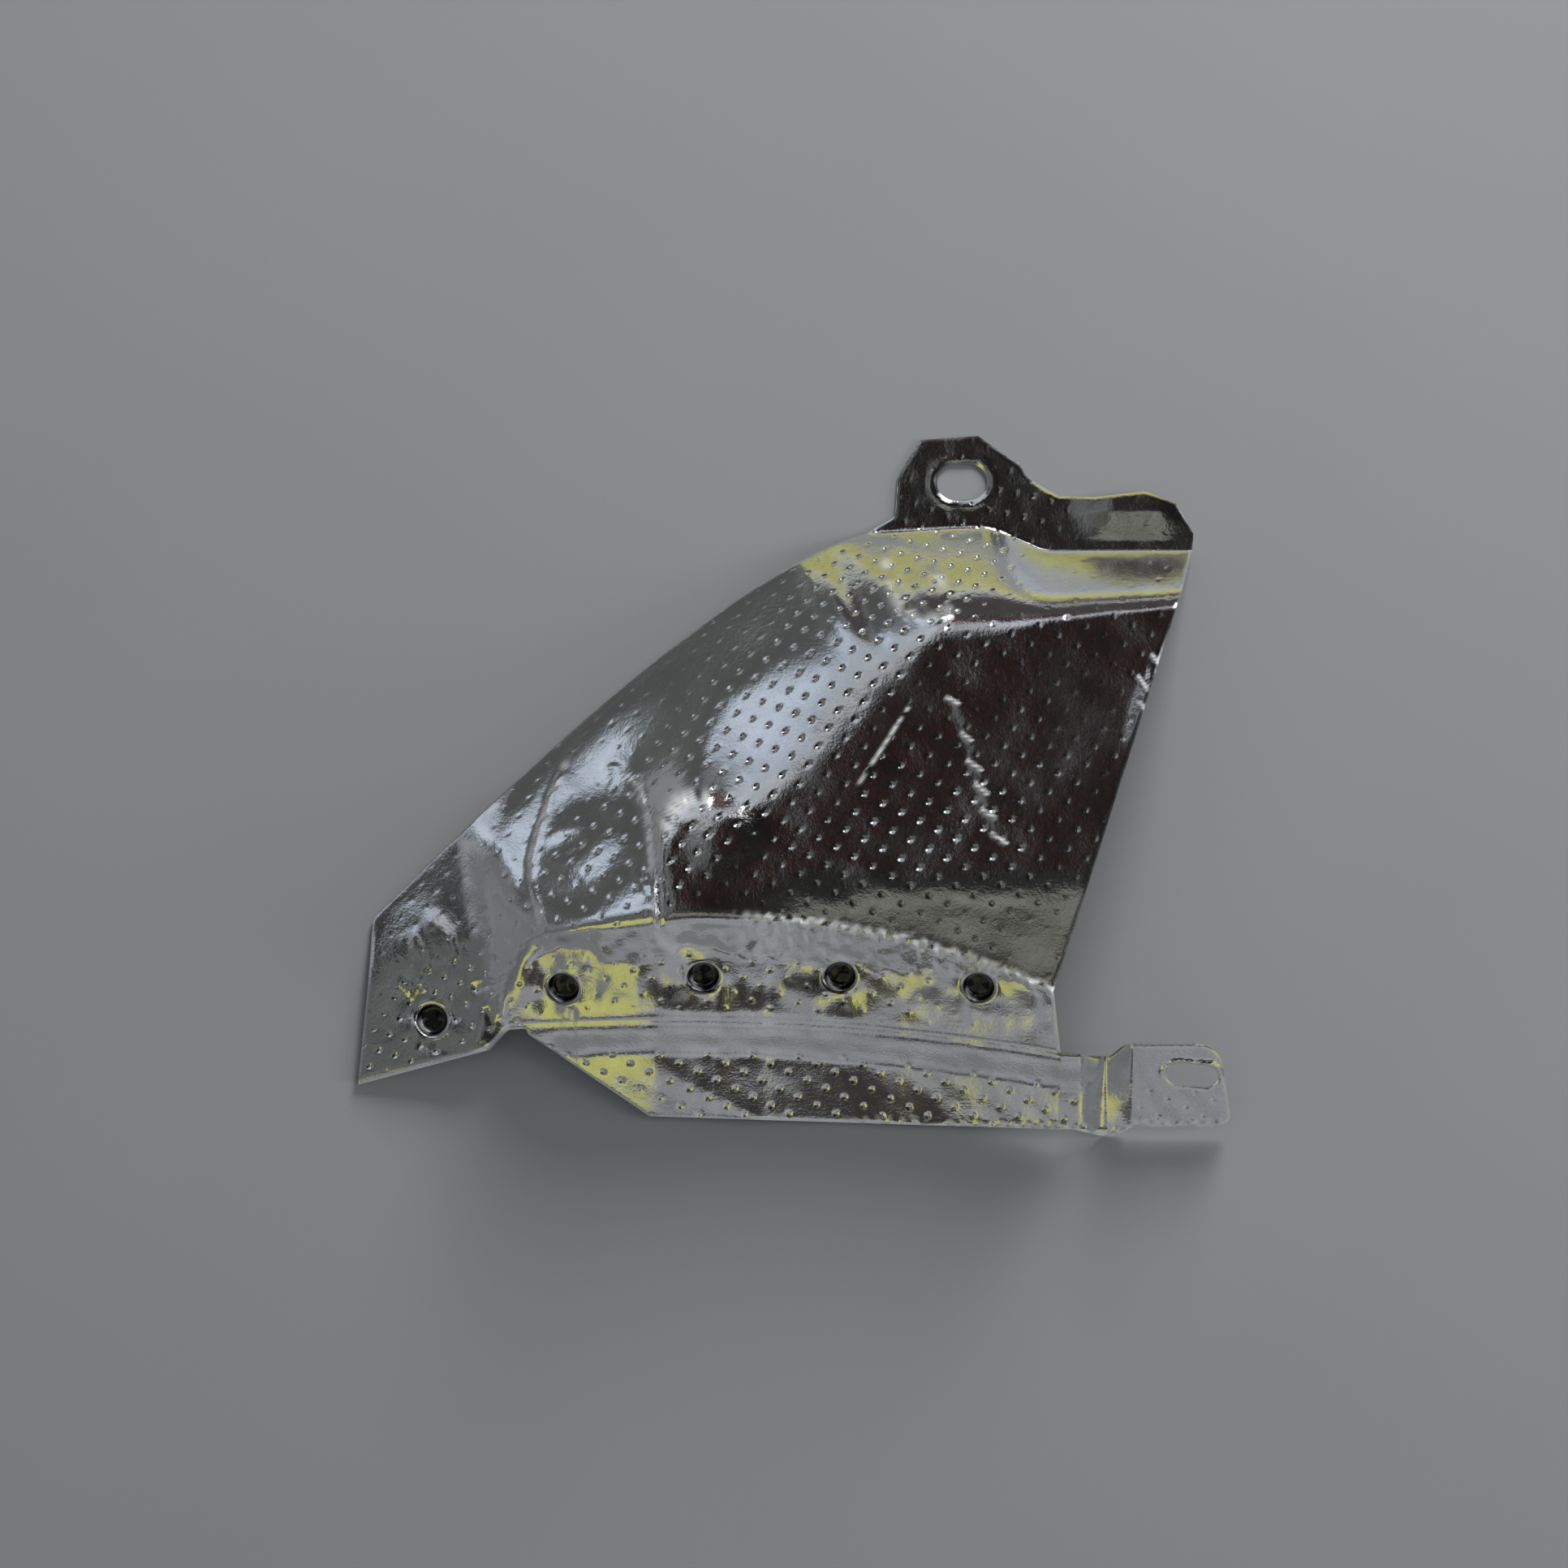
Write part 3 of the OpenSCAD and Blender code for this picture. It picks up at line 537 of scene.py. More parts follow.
# The finished piece: top face with pits, lower face at the thickness, and a wall along every open edge
def finishSheet(name, sheet, thickness, dimpleShare, strip=False):
    points = np.concatenate(sheet["points"])
    n, cols = len(points), sheet["cols"]
    i, j = np.nonzero(sheet["keep"])
    a = i * cols + j
    top = [np.stack([a, a + 1, a + cols + 1, a + cols], -1)] + sheet["both"]
    under = coarseCells(sheet["keep"], cols) + sheet["both"]
    edges = np.concatenate([np.stack([f[:, k], f[:, (k + 1) % f.shape[1]]], -1)
                            for f in top for k in range(f.shape[1])])
    edges = edges[~np.isin(edges[:, 0] * n + edges[:, 1], edges[:, 1] * n + edges[:, 0])]
    wall = np.stack([edges[:, 1], edges[:, 0], edges[:, 0] + n, edges[:, 1] + n], -1)
    normals = pointNormals(points, top)
    lattice = sheetMap(points[:, 0], points[:, 1], strip)
    share = dimpleShare(points)
    rim = edgeDistance(points[:, :2], points[np.unique(edges)][:, :2])
    lower = points - normals * thickness(points)[:, None]
    rise = dimplePits(lattice) * share * ease(0.0, 1.2, rim) - 0.16 * bell(rim, 0.4)
    upper = points + normals * rise[:, None]
    both = np.concatenate([upper, lower])
    both[:, 2] = np.maximum(both[:, 2], 0.0)
    both[:, 1] -= shield["depth"] / 2
    faces = top + [f[:, ::-1] + n for f in under] + [wall]
    used = np.unique(np.concatenate([f.ravel() for f in faces]))
    place = np.full(2 * n, -1)
    place[used] = np.arange(len(used))
    faces = [place[f] for f in faces if len(f)]
    corners = np.concatenate([f.ravel() for f in faces])
    sizes = np.concatenate([np.full(len(f), f.shape[1]) for f in faces])
    mesh = bpy.data.meshes.new(name)
    mesh.vertices.add(len(used))
    mesh.vertices.foreach_set("co", (both[used] * metre).ravel())
    mesh.loops.add(len(corners))
    mesh.loops.foreach_set("vertex_index", corners.astype(np.int32))
    mesh.polygons.add(len(sizes))
    mesh.polygons.foreach_set("loop_start", (np.cumsum(sizes) - sizes).astype(np.int32))
    mesh.polygons.foreach_set("loop_total", sizes.astype(np.int32))
    mesh.polygons.foreach_set("use_smooth", np.ones(len(sizes), bool))
    mesh.update(calc_edges=True)
    mesh.validate()
    mesh.set_sharp_from_angle(angle=math.radians(55))
    uv = np.concatenate([lattice, lattice])[used][corners]
    mesh.uv_layers.new(name="sheetMap").data.foreach_set("uv", uv.ravel())
    # On the hood the scuffs include a painted highlight arc in each cup and the fold ridge's white, which is
    # partly a painted highlight
    dull = (stripBeads if strip else scuffsAndHighlights)(points[:, 0], points[:, 1])
    # cup: painted shade, a nearly black base colour inside each clinch cup where the recess lies in shade, held
    # off where the scuffs and the painted highlight arc lie
    deep = (1 - nearClinch(points, 4.4)) * (1 - dull)
    for label, above, below in (("dimpleShare", share * ease(0.0, 1.2, rim), -share), ("scuff", dull, 0 * dull),
                                ("cup", deep, 0 * deep), ("edgeDistance", rim, rim)):
        values = np.concatenate([above, below])[used]
        mesh.attributes.new(label, "FLOAT", "POINT").data.foreach_set("value", values)
    piece = bpy.data.objects.new(name, mesh)
    bpy.context.scene.collection.objects.link(piece)
    print(name, "points", len(used), "triangles", int((sizes - 2).sum()))
    return piece


# The hood panel's mesh, its left rim as a curve, and the ear with its hole and collar
hoodMesh = {"columns": 288, "bandRows": 39, "faceRows": 183, "flangeRows": 27, "crowding": 1.12}
rim = {"handle": 62.0, "angle": 45.0, "endAngle": 14.0, "straight": 0.1}
ear = {"hole": (12.4, 8.8), "edge": 7.0, "collar": 0.22, "collarAt": 1.5, "collarWidth": 0.8}
earY = shield["depth"] - ear["edge"] - ear["hole"][1] / 2
# Outer edge of the flange and the ear, each corner with the place on the fold line that it is ruled from
flangeEdge = np.array([
    (18.3, 18.3, 149.3), (24.9, 24.9, 153.2), (26.4, 25.7, 163.4), (31.0, 31.1, 172.0), (45.3, 45.5, 173.0),
    (47.5, 47.7, 171.4), (54.4, 55.7, 166.0), (57.0, 57.7, 162.7), (64.6, 65.3, 158.1), (74.3, 74.3, 157.9),
    (86.6, 86.7, 159.3), (94.0, 94.3, 156.5), (98.3, 98.7, 148.8)])


def bezier(p0, p1, p2, p3, s):
    s = s[:, None]
    return (1 - s) ** 3 * p0 + 3 * (1 - s) ** 2 * s * p1 + 3 * (1 - s) * s * s * p2 + s ** 3 * p3


# Band: straight lines from the cut edge to the fold. Face: a Coons patch, which adds the two ruled
# surfaces of its four edges and takes away the one of its corners. Flange: straight lines to its edge
def hoodPlan():
    m = hoodMesh
    u = np.linspace(0, 1, m["columns"] + 1)
    foldLeft, foldRight = leftX + 2.4, bandEndX - 1.8
    cutX, foldX = mix(leftX, bandEndX, u), mix(foldLeft, foldRight, u)
    flangeX = mix(rimBack[0], faceRight[0], u)
    cut = np.stack([cutX, cutEdgeY(cutX)], -1)
    fold = np.stack([foldX, foldLineY(foldX)], -1)
    flange = np.stack([flangeX, flangeLineY(flangeX)], -1)
    v = np.linspace(0, 1, m["bandRows"] + 1)[:-1, None, None]
    band = mix(cut[None], fold[None], v)
    w = 1 - (1 - np.linspace(0, 1, m["faceRows"] + 1)) ** m["crowding"]
    rimLeft, back = np.array([leftX + 3.6, hood["foldY"] - 0.8]), np.array(rimBack)
    s = np.clip((w - rim["straight"]) / (1 - rim["straight"]), 0, 1)
    curve = bezier(rimLeft, rimLeft + rim["handle"] * np.array([cosd(rim["angle"]), sind(rim["angle"])]),
                   back - rim["handle"] / 2 * np.array([cosd(rim["endAngle"]), sind(rim["endAngle"])]), back, s)
    start = mix(fold[0], rimLeft, np.clip(w / rim["straight"], 0, 1)[:, None])
    left = np.where((w < rim["straight"])[:, None], start, curve)
    right = mix(fold[-1], flange[-1], w[:, None])
    ww, uu = w[:, None, None], u[None, :, None]
    corners = mix(mix(fold[0], fold[-1], uu), mix(flange[0], flange[-1], uu), ww)
    face = mix(fold[None], flange[None], ww) + mix(left[:, None], right[:, None], uu) - corners
    outer = np.stack([np.interp(flangeX, flangeEdge[:, 0], flangeEdge[:, k]) for k in (1, 2)], -1)
    t = np.linspace(0, 1, m["flangeRows"] + 1)[1:, None, None]
    return np.concatenate([band, face, mix(flange[None], outer[None], t)])


# Distance from a long hole with round ends, turned in the plane
def slotDistance(x, y, size, turn):
    s, t = x * cosd(turn) + y * sind(turn), y * cosd(turn) - x * sind(turn)
    straight = (size[0] - size[1]) / 2
    return np.hypot(np.maximum(np.abs(s) - straight, 0), t) - size[1] / 2


# Points of a long hole's edge in the direction of each angle: the walk outwards stops where the distance is 0
def slotEdge(angle, size, turn):
    low, high = np.zeros(len(angle)), np.full(len(angle), size[0])
    for _ in range(30):
        r = (low + high) / 2
        outside = slotDistance(r * np.cos(angle), r * np.sin(angle), size, turn) > 0
        low, high = np.where(outside, low, r), np.where(outside, r, high)
    return np.stack([r * np.cos(angle), r * np.sin(angle)], -1)


def hoodTop(x, y):
    d = slotDistance(x - hood["earX"], y - earY, ear["hole"], 0)
    collar = ear["collar"] * bell(d - ear["collarAt"], ear["collarWidth"]) * (1 + 0.4 * waves(x, y, 41, 6.0))
    return hoodShape(x, y) + collar


plan = hoodPlan()
hoodSheet = startSheet(plan, np.ones((plan.shape[0] - 1, plan.shape[1] - 1), bool), hoodTop)
hoodCup = [(4.9, -0.08), (4.5, -0.02), (4.1, 0.12), (3.8, 0.4), (3.62, 0.8), (3.55, 1.3), (3.38, 1.8),
           (2.95, 2.2), (2.3, 2.38), (1.2, 2.4)]
for place in clinches:
    addCup(hoodSheet, place, hoodCup)
holeRing, holeOuter = openCells(hoodSheet, rectangleRound(plan, (hood["earX"], earY), (8.4, 6.2)))
holeAngle = np.arctan2(holeOuter[:, 1] - earY, holeOuter[:, 0] - hood["earX"])
holeInner = np.array([hood["earX"], earY]) + slotEdge(holeAngle, ear["hole"], 0)
holePlan = np.array([mix(holeOuter, holeInner, s) for s in (0.2, 0.4, 0.55, 0.68, 0.8, 0.9, 1.0)])
addRings(hoodSheet, holeRing, holePlan, np.zeros(len(holePlan)), np.zeros(3), False)


def hoodThickness(points):
    return mix(0.5, shield["panel"], nearClinch(points, 5.2))


# How deep the dimples are: a faint share all over, and what the field on the main face, the flank, the border
# between them and the flatter panel add to it
pressed = {"faint": 0.25, "deep": 0.95, "at": (30, 74), "half": (30, 17), "flank": 0.85, "border": 0.5,
           "panel": 0.55}


# Full pits on the faces, faint ones where the press flattened them: flange, ear, fold ridge and clinch rims
def hoodDimples(points):
    x, y = points[:, 0], points[:, 1]
    flange = ease(-3.0, 1.0, y - flangeLineY(x)) * ease(0, 18, x)
    fold = bell(y - foldLineY(x), 1.6)
    band = ease(-1.0, -3.0, y - foldLineY(x)) * ease(-72, -62, x)
    (middleX, middleY), (halfX, halfY) = pressed["at"], pressed["half"]
    deep = bell(np.hypot((x - middleX) / halfX, (y - middleY) / halfY), 1.0)
    distance = flankDistance(x, y)
    flank = ease(-8, 0, distance) * ease(32, 20, distance) * (1 - band)
    border = bell(distance - 5, 7) * ease(-34, -22, x)
    face = pressed["faint"] + pressed["deep"] * deep + pressed["flank"] * flank + pressed["border"] * border
    panel = np.clip(panelDrop(x, y) / 0.5, 0, 1) * ease(18, 15, y - cutEdgeY(x))
    share = (face + 0.14 * waves(x, y, 51, 22.0)) * (1 - 0.5 * band) + pressed["panel"] * band * panel
    return nearClinch(points, 6.2) * (1 - 0.7 * flange) * (1 - 0.6 * fold) * share


hoodPiece = finishSheet("hoodSheet", hoodSheet, hoodThickness, hoodDimples)

# The strip's slopes in degrees, its step, V-fold and tab, its slot, and its front edge
strip = {"tilt": 23.0, "step": 3.4, "stepAt": (0.6, 9.6), "veeIn": 30.7, "veeHalf": 7.0, "tabTilt": 33.0,
         "tabWidth": 24.6, "slot": (12.8, 6.4), "slotIn": 9.6, "slotUp": 15.4, "slotTurn": -7.0, "frontY": 1.6,
         "frontSlope": 0.032, "tabFront": (2.2, 2.4), "tabRound": 7.0, "toeRound": 3.4, "cornerIn": 2.0,
         "lapOut": 1.2}
stripMesh = {"segments": [84, 60, 201, 24, 15, 48], "rows": 48, "lapRows": 24}
veeX = rightX - strip["veeIn"]
tabX = veeX + 7.0
diagonal = ((leftX + 42, hood["cutY"] - 3.7), (leftX + 72, strip["frontY"] + 3.2))


# Extra forward slope of the strip at places along it, as from a gentle twist; its bounds run slanted over
# the strip and are blurred over a few millimetres
stripTwist = {"x": [-66, -46, -34, -24, 18, 34, 54], "slope": [0.05, 0.04, 0.01, -0.05, -0.05, 0.02, 0.055],
              "slant": 2.0, "middle": 19, "blur": (-6, -3, 0, 3, 6)}


# Strip in front of the hood: level with the hood's lower face at the cut edge, a step down, then its slope
def stripSlope(x, y):
    xe = np.minimum(x, bandEndX)
    ye = cutEdgeY(xe)
    q = ye - y
    grow = ease(notchX[1], notchX[1] + 14.5, x)
    step = strip["step"] * grow * ease(*strip["stepAt"], q)
    slanted = x - stripTwist["slant"] * (np.clip(q, 4, 26) - stripTwist["middle"])
    turns = [np.interp(slanted + blur, stripTwist["x"], stripTwist["slope"]) for blur in stripTwist["blur"]]
    turn = sum(turns) / len(turns) * ease(4, 10, q)
    slope = mix(tand(hood["bandTilt"]), tand(strip["tilt"]), grow)
    return underHood(xe, ye) - step - slope * q - turn * (q - 4)


def tabHeight(y):
    return strip["tabFront"][1] + tand(strip["tabTilt"]) * (y - strip["tabFront"][0])


def veeHeight(y):
    return shield["strip"] / cosd(strip["tilt"]) + tand(strip["tilt"]) * y


# The strip's own handling marks: soft waves, beads along the front edge, and a lip behind the slot
stripMarks = {"broad": 0.10, "broadLength": 46.0, "middle": 0.05, "middleLength": 9.0, "bead": 0.35,
              "beadLength": 2.6, "lip": 0.4}


# Where beads stand along the front edge, 0 to 1
def stripBeads(x, y):
    row = bell(y - frontEdgeY(x) - 0.9, 0.8) * ease(8, 30, x)
    return row * np.clip(waves(x, y, 63, stripMarks["beadLength"]), 0, 1)


def stripTop(x, y):
    s = np.clip((x - veeX) / (tabX - 1 - veeX), 0, 1)
    base = mix(stripSlope(x, y), veeHeight(y), ease(veeX - strip["veeHalf"], veeX, x))
    h = np.where(x > veeX, mix(veeHeight(y), tabHeight(y), s), base)
    marks = stripMarks["broad"] * waves(x, y, 61, stripMarks["broadLength"])
    marks = marks + stripMarks["middle"] * waves(x, y, 62, stripMarks["middleLength"])
    beads = stripMarks["bead"] * stripBeads(x, y)
    q = cutEdgeY(np.minimum(x, bandEndX)) - y
    up = (y - strip["tabFront"][0]) / cosd(strip["tabTilt"]) - strip["slotUp"]
    slot = slotDistance(x - rightX + strip["slotIn"], up, strip["slot"], strip["slotTurn"])
    lip = stripMarks["lip"] * bell(slot - 0.7, 0.6) * (1 + 0.5 * waves(x, y, 64, 3.0))
    lip = lip * ease(14.0, 17.5, y) * ease(tabX, tabX + 3, x)
    return h + marks * ease(0.5, 5.0, q) * ease(0, 3, h) + beads + lip


def frontEdgeY(x):
    bump = np.maximum(0, 1 - np.abs(x - veeX) / (strip["veeHalf"] + 2))
    front = (strip["frontY"] + strip["frontSlope"] * np.maximum(0, bandEndX - x)) * (1 - ease(0, 1, bump))
    (ax, ay), (bx, by) = diagonal
    slanted = mix(ay, by, (x - ax) / (bx - ax))
    y = np.where(x < ax, cutEdgeY(x) - strip["lapOut"], np.where(x < bx, slanted, front))
    return mix(y, strip["tabFront"][0], ease(tabX - 3, tabX, x))


# Columns along the length, rows from the front edge to the cut edge, then the lap under the hood;
# past the start of the tab the rows run out to the tab's rounded end
def stripPlan():
    m = stripMesh
    stops = [leftX, diagonal[0][0], diagonal[1][0], bandEndX, veeX, tabX]
    x = np.concatenate([np.linspace(stops[k], stops[k + 1], m["segments"][k] + 1)[:-1] for k in range(5)])
    f = 1 - (1 - np.linspace(0, 1, m["rows"] + 1)) ** 1.12
    tabBack = strip["tabFront"][0] + strip["tabWidth"] * cosd(strip["tabTilt"])
    cut = cutEdgeY(np.minimum(x, bandEndX))
    endY = float(cutEdgeY(np.array(bandEndX)))
    back = np.where(x < bandEndX, cut, np.where(x < veeX, endY - ease(bandEndX, veeX, x),
                                                mix(endY - 1, tabBack - 0.1, ease(veeX, tabX - 2, x))))
    front = mix(frontEdgeY(x)[None], back[None], f[:, None])
    body = np.dstack([np.broadcast_to(x, front.shape), front])
    q = f * strip["tabWidth"]
    low, high = strip["toeRound"], strip["tabRound"]
    arcLow = rightX - low + np.sqrt(np.maximum(low ** 2 - np.maximum(low - q, 0) ** 2, 0))
    highAt = strip["tabWidth"] - high
    arcHigh = np.sqrt(np.maximum(high ** 2 - np.maximum(q - highAt, 0) ** 2, 0))
    arcHigh = rightX - strip["cornerIn"] - high + arcHigh
    straight = mix(rightX, rightX - strip["cornerIn"] - 0.07, np.clip((q - low) / (highAt + 1 - low), 0, 1))
    end = np.where(q < low, arcLow, np.where(q > highAt + 0.97, arcHigh, straight))
    s = np.linspace(0, 1, m["segments"][5] + 1)
    tabRows = mix(tabX, end[:, None], s[None])
    tabY = np.broadcast_to((strip["tabFront"][0] + q * cosd(strip["tabTilt"]))[:, None], tabRows.shape)
    rows = np.concatenate([body, np.dstack([tabRows, tabY])], 1)
    u = np.clip((x - leftX) / (bandEndX - leftX), 0, 1)
    foldX = mix(leftX + 2.4, bandEndX - 1.8, u)
    v = (np.arange(1, m["lapRows"] + 1) / m["lapRows"])[:, None, None]
    cutPoints = np.stack([x, np.where(x <= bandEndX, cutEdgeY(x), endY)], -1)
    lap = mix(cutPoints[None], np.stack([foldX, foldLineY(foldX)], -1)[None], v)
    spare = np.broadcast_to(rows[-1:, len(x):], (m["lapRows"], rows.shape[1] - len(x), 2))
    return np.concatenate([rows, np.concatenate([lap, spare], 1)])


# Under the hood the strip lies below it at the gap; in front it follows its own slope
def stripShape(x, y):
    lap = (y > cutEdgeY(np.minimum(x, bandEndX)) - 1e-6) & (x < bandEndX + 0.01)
    return np.where(lap, underHood(x, y), stripTop(x, y))


plan = stripPlan()
lapColumns = sum(stripMesh["segments"][:3])
keep = np.ones((plan.shape[0] - 1, plan.shape[1] - 1), bool)
keep[stripMesh["rows"]:, lapColumns:] = False
stripSheet = startSheet(plan, keep, stripShape)
stripCup = [(5.1, 0.0), (4.75, 0.1), (4.45, 0.4), (4.25, 0.9), (4.2, 1.7), (4.2, 2.3), (4.1, 2.8), (3.7, 3.0),
            (2.4, 3.0)]
for place in clinches:
    addCup(stripSheet, place, stripCup)
slotAt = (rightX - strip["slotIn"], strip["tabFront"][0] + strip["slotUp"] * cosd(strip["tabTilt"]))
slotRing, slotOuter = openCells(stripSheet, rectangleRound(plan, slotAt, (7.4, 4.0)))
slotAngle = np.arctan2((slotOuter[:, 1] - slotAt[1]) / cosd(strip["tabTilt"]), slotOuter[:, 0] - slotAt[0])
slotInner = slotEdge(slotAngle, strip["slot"], strip["slotTurn"]) * np.array([1, cosd(strip["tabTilt"])])
slotInner = np.array(slotAt) + slotInner
slotRings = np.array([mix(slotOuter, slotInner, s) for s in (0.25, 0.5, 0.7, 0.85, 1.0)])
addRings(stripSheet, slotRing, slotRings, np.zeros(len(slotRings)), np.zeros(3), False)


def stripThickness(points):
    return mix(0.5, shield["strip"], nearClinch(points, 5.6))


def stripDimples(points):
    x, y = points[:, 0], points[:, 1]
    lap = ease(0.6, -0.6, y - cutEdgeY(np.minimum(x, bandEndX)) + mix(4.0, 7.6, ease(-68, -50, x)))
    vee = 1 - bell(x - veeX - 1, 6.0)
    tab = 1 - 0.7 * ease(tabX - 6, tabX, x)
    return lap * vee * tab * (0.9 + 0.3 * waves(x, y, 52, 18.0))


stripPiece = finishSheet("stripSheet", stripSheet, stripThickness, stripDimples, True)
print("sheets made")

for piece, node, slot in ((hoodPiece, "hood_panel", "hood_sheet"),
                          (stripPiece, "support_strip", "strip_sheet")):
    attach(piece, "root")
    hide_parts(node)



# Sets a node's inputs: a socket is linked, anything else is written to it
def fillNode(tree, node, values):
    for key, value in values.items():
        if hasattr(value, "is_output"):
            tree.links.new(value, node.inputs[key])
        else:
            node.inputs[key].default_value = value
    return node


def addNode(tree, kind, values=None, **settings):
    node = tree.nodes.new(kind)
    for key, value in settings.items():
        setattr(node, key, value)
    return fillNode(tree, node, values or {})


def mathNode(tree, operation, *values):
    return addNode(tree, "ShaderNodeMath", dict(enumerate(values)), operation=operation).outputs[0]


def vectorNode(tree, operation, *values):
    return addNode(tree, "ShaderNodeVectorMath", dict(enumerate(values)), operation=operation).outputs[0]


# Maps a value from one range to another, eased at both ends where smooth
def mapNode(tree, value, fromRange=(0.0, 1.0), toRange=(0.0, 1.0), smooth=False):
    values = {"Value": value, "From Min": fromRange[0], "From Max": fromRange[1], "To Min": toRange[0],
              "To Max": toRange[1]}
    return addNode(tree, "ShaderNodeMapRange", values,
                   interpolation_type="SMOOTHSTEP" if smooth else "LINEAR").outputs[0]


def mixNode(tree, share, first, second):
    return addNode(tree, "ShaderNodeMix", {0: share, 6: first, 7: second}, data_type="RGBA").outputs[2]


def noiseNode(tree, place, scale, detail, roughness=0.5, distortion=0.0):
    values = {"Vector": place, "Scale": scale, "Detail": detail, "Roughness": roughness,
              "Distortion": distortion}
    return addNode(tree, "ShaderNodeTexNoise", values).outputs["Fac"]


def newGroup(name, inputs, outputs):
    group = bpy.data.node_groups.new(name, "ShaderNodeTree")
    for label, kind, default in inputs:
        socket = group.interface.new_socket(name=label, in_out="INPUT", socket_type=kind)
        if default is not None:
            socket.default_value = default
    for label, kind in outputs:
        group.interface.new_socket(name=label, in_out="OUTPUT", socket_type=kind)
    return group, group.nodes.new("NodeGroupInput").outputs, group.nodes.new("NodeGroupOutput").inputs


number, vector = "NodeSocketFloat", "NodeSocketVector"


# Pits of the lattice in the shader: 1 minus the eased distance from the middle of each cell, times the share
def pitGroup():
    group, given, out = newGroup("embossedPits", [("Map", vector, None), ("Share", number, 1.0),
                                                  ("Depth", number, 0.2), ("Radius", number, 0.2)],
                                 [("Height", number)])
    cell = vectorNode(group, "FRACTION", given["Map"])
    off = vectorNode(group, "SUBTRACT", cell, (0.5, 0.5, 0.0))
    far = addNode(group, "ShaderNodeVectorMath", {0: off}, operation="LENGTH").outputs["Value"]
    bowl = mapNode(group, far, (0.0, given["Radius"]), (-1.0, 0.0), True)
    deep = mathNode(group, "MULTIPLY", bowl, given["Depth"])
    group.links.new(mathNode(group, "MULTIPLY", deep, given["Share"]), out["Height"])
    return group


# Smears and dull spots: two layers of stretched noise mixed into a roughness and a tint mask
def smearGroup():
    group, given, out = newGroup("handlingSmears", [("Place", vector, None), ("Scale", number, 40.0),
                                                    ("Low", number, 0.08), ("High", number, 0.22)],
                                 [("Roughness", number), ("Mask", number)])
    broad = noiseNode(group, given["Place"], given["Scale"], 5.0, 0.62, 0.6)
    speck = noiseNode(group, given["Place"], mathNode(group, "MULTIPLY", given["Scale"], 9.0), 3.0)
    mask = mapNode(group, mathNode(group, "MULTIPLY_ADD", speck, 0.35, broad), (0.5, 0.95))
    group.links.new(mapNode(group, mask, (0.0, 1.0), (given["Low"], given["High"])), out["Roughness"])
    group.links.new(mask, out["Mask"])
    return group


# Foil grain: soft crinkles and thin rolling lines as one height in millimetres
def grainGroup():
    group, given, out = newGroup("foilGrain", [("Place", vector, None), ("Crinkle", number, 0.02),
                                               ("Lines", number, 0.004), ("Grit", number, 0.01)],
                                 [("Height", number)])
    turned = addNode(group, "ShaderNodeMapping", {"Vector": given["Place"], "Scale": (60.0, 2600.0, 600.0),
                                                  "Rotation": (0.0, 0.0, math.radians(27))})
    crinkle = noiseNode(group, given["Place"], 260.0, 6.0, 0.62)
    lines = noiseNode(group, turned.outputs[0], 1.0, 2.0)
    grit = noiseNode(group, given["Place"], 1500.0, 2.0)
    height = mathNode(group, "MULTIPLY", crinkle, given["Crinkle"])
    height = mathNode(group, "MULTIPLY_ADD", lines, given["Lines"], height)
    height = mathNode(group, "MULTIPLY_ADD", grit, given["Grit"], height)
    group.links.new(height, out["Height"])
    return group


groups = {"pits": pitGroup(), "smears": smearGroup(), "grain": grainGroup()}


def useGroup(tree, key, values):
    node = tree.nodes.new("ShaderNodeGroup")
    node.node_tree = groups[key]
    return fillNode(tree, node, values)


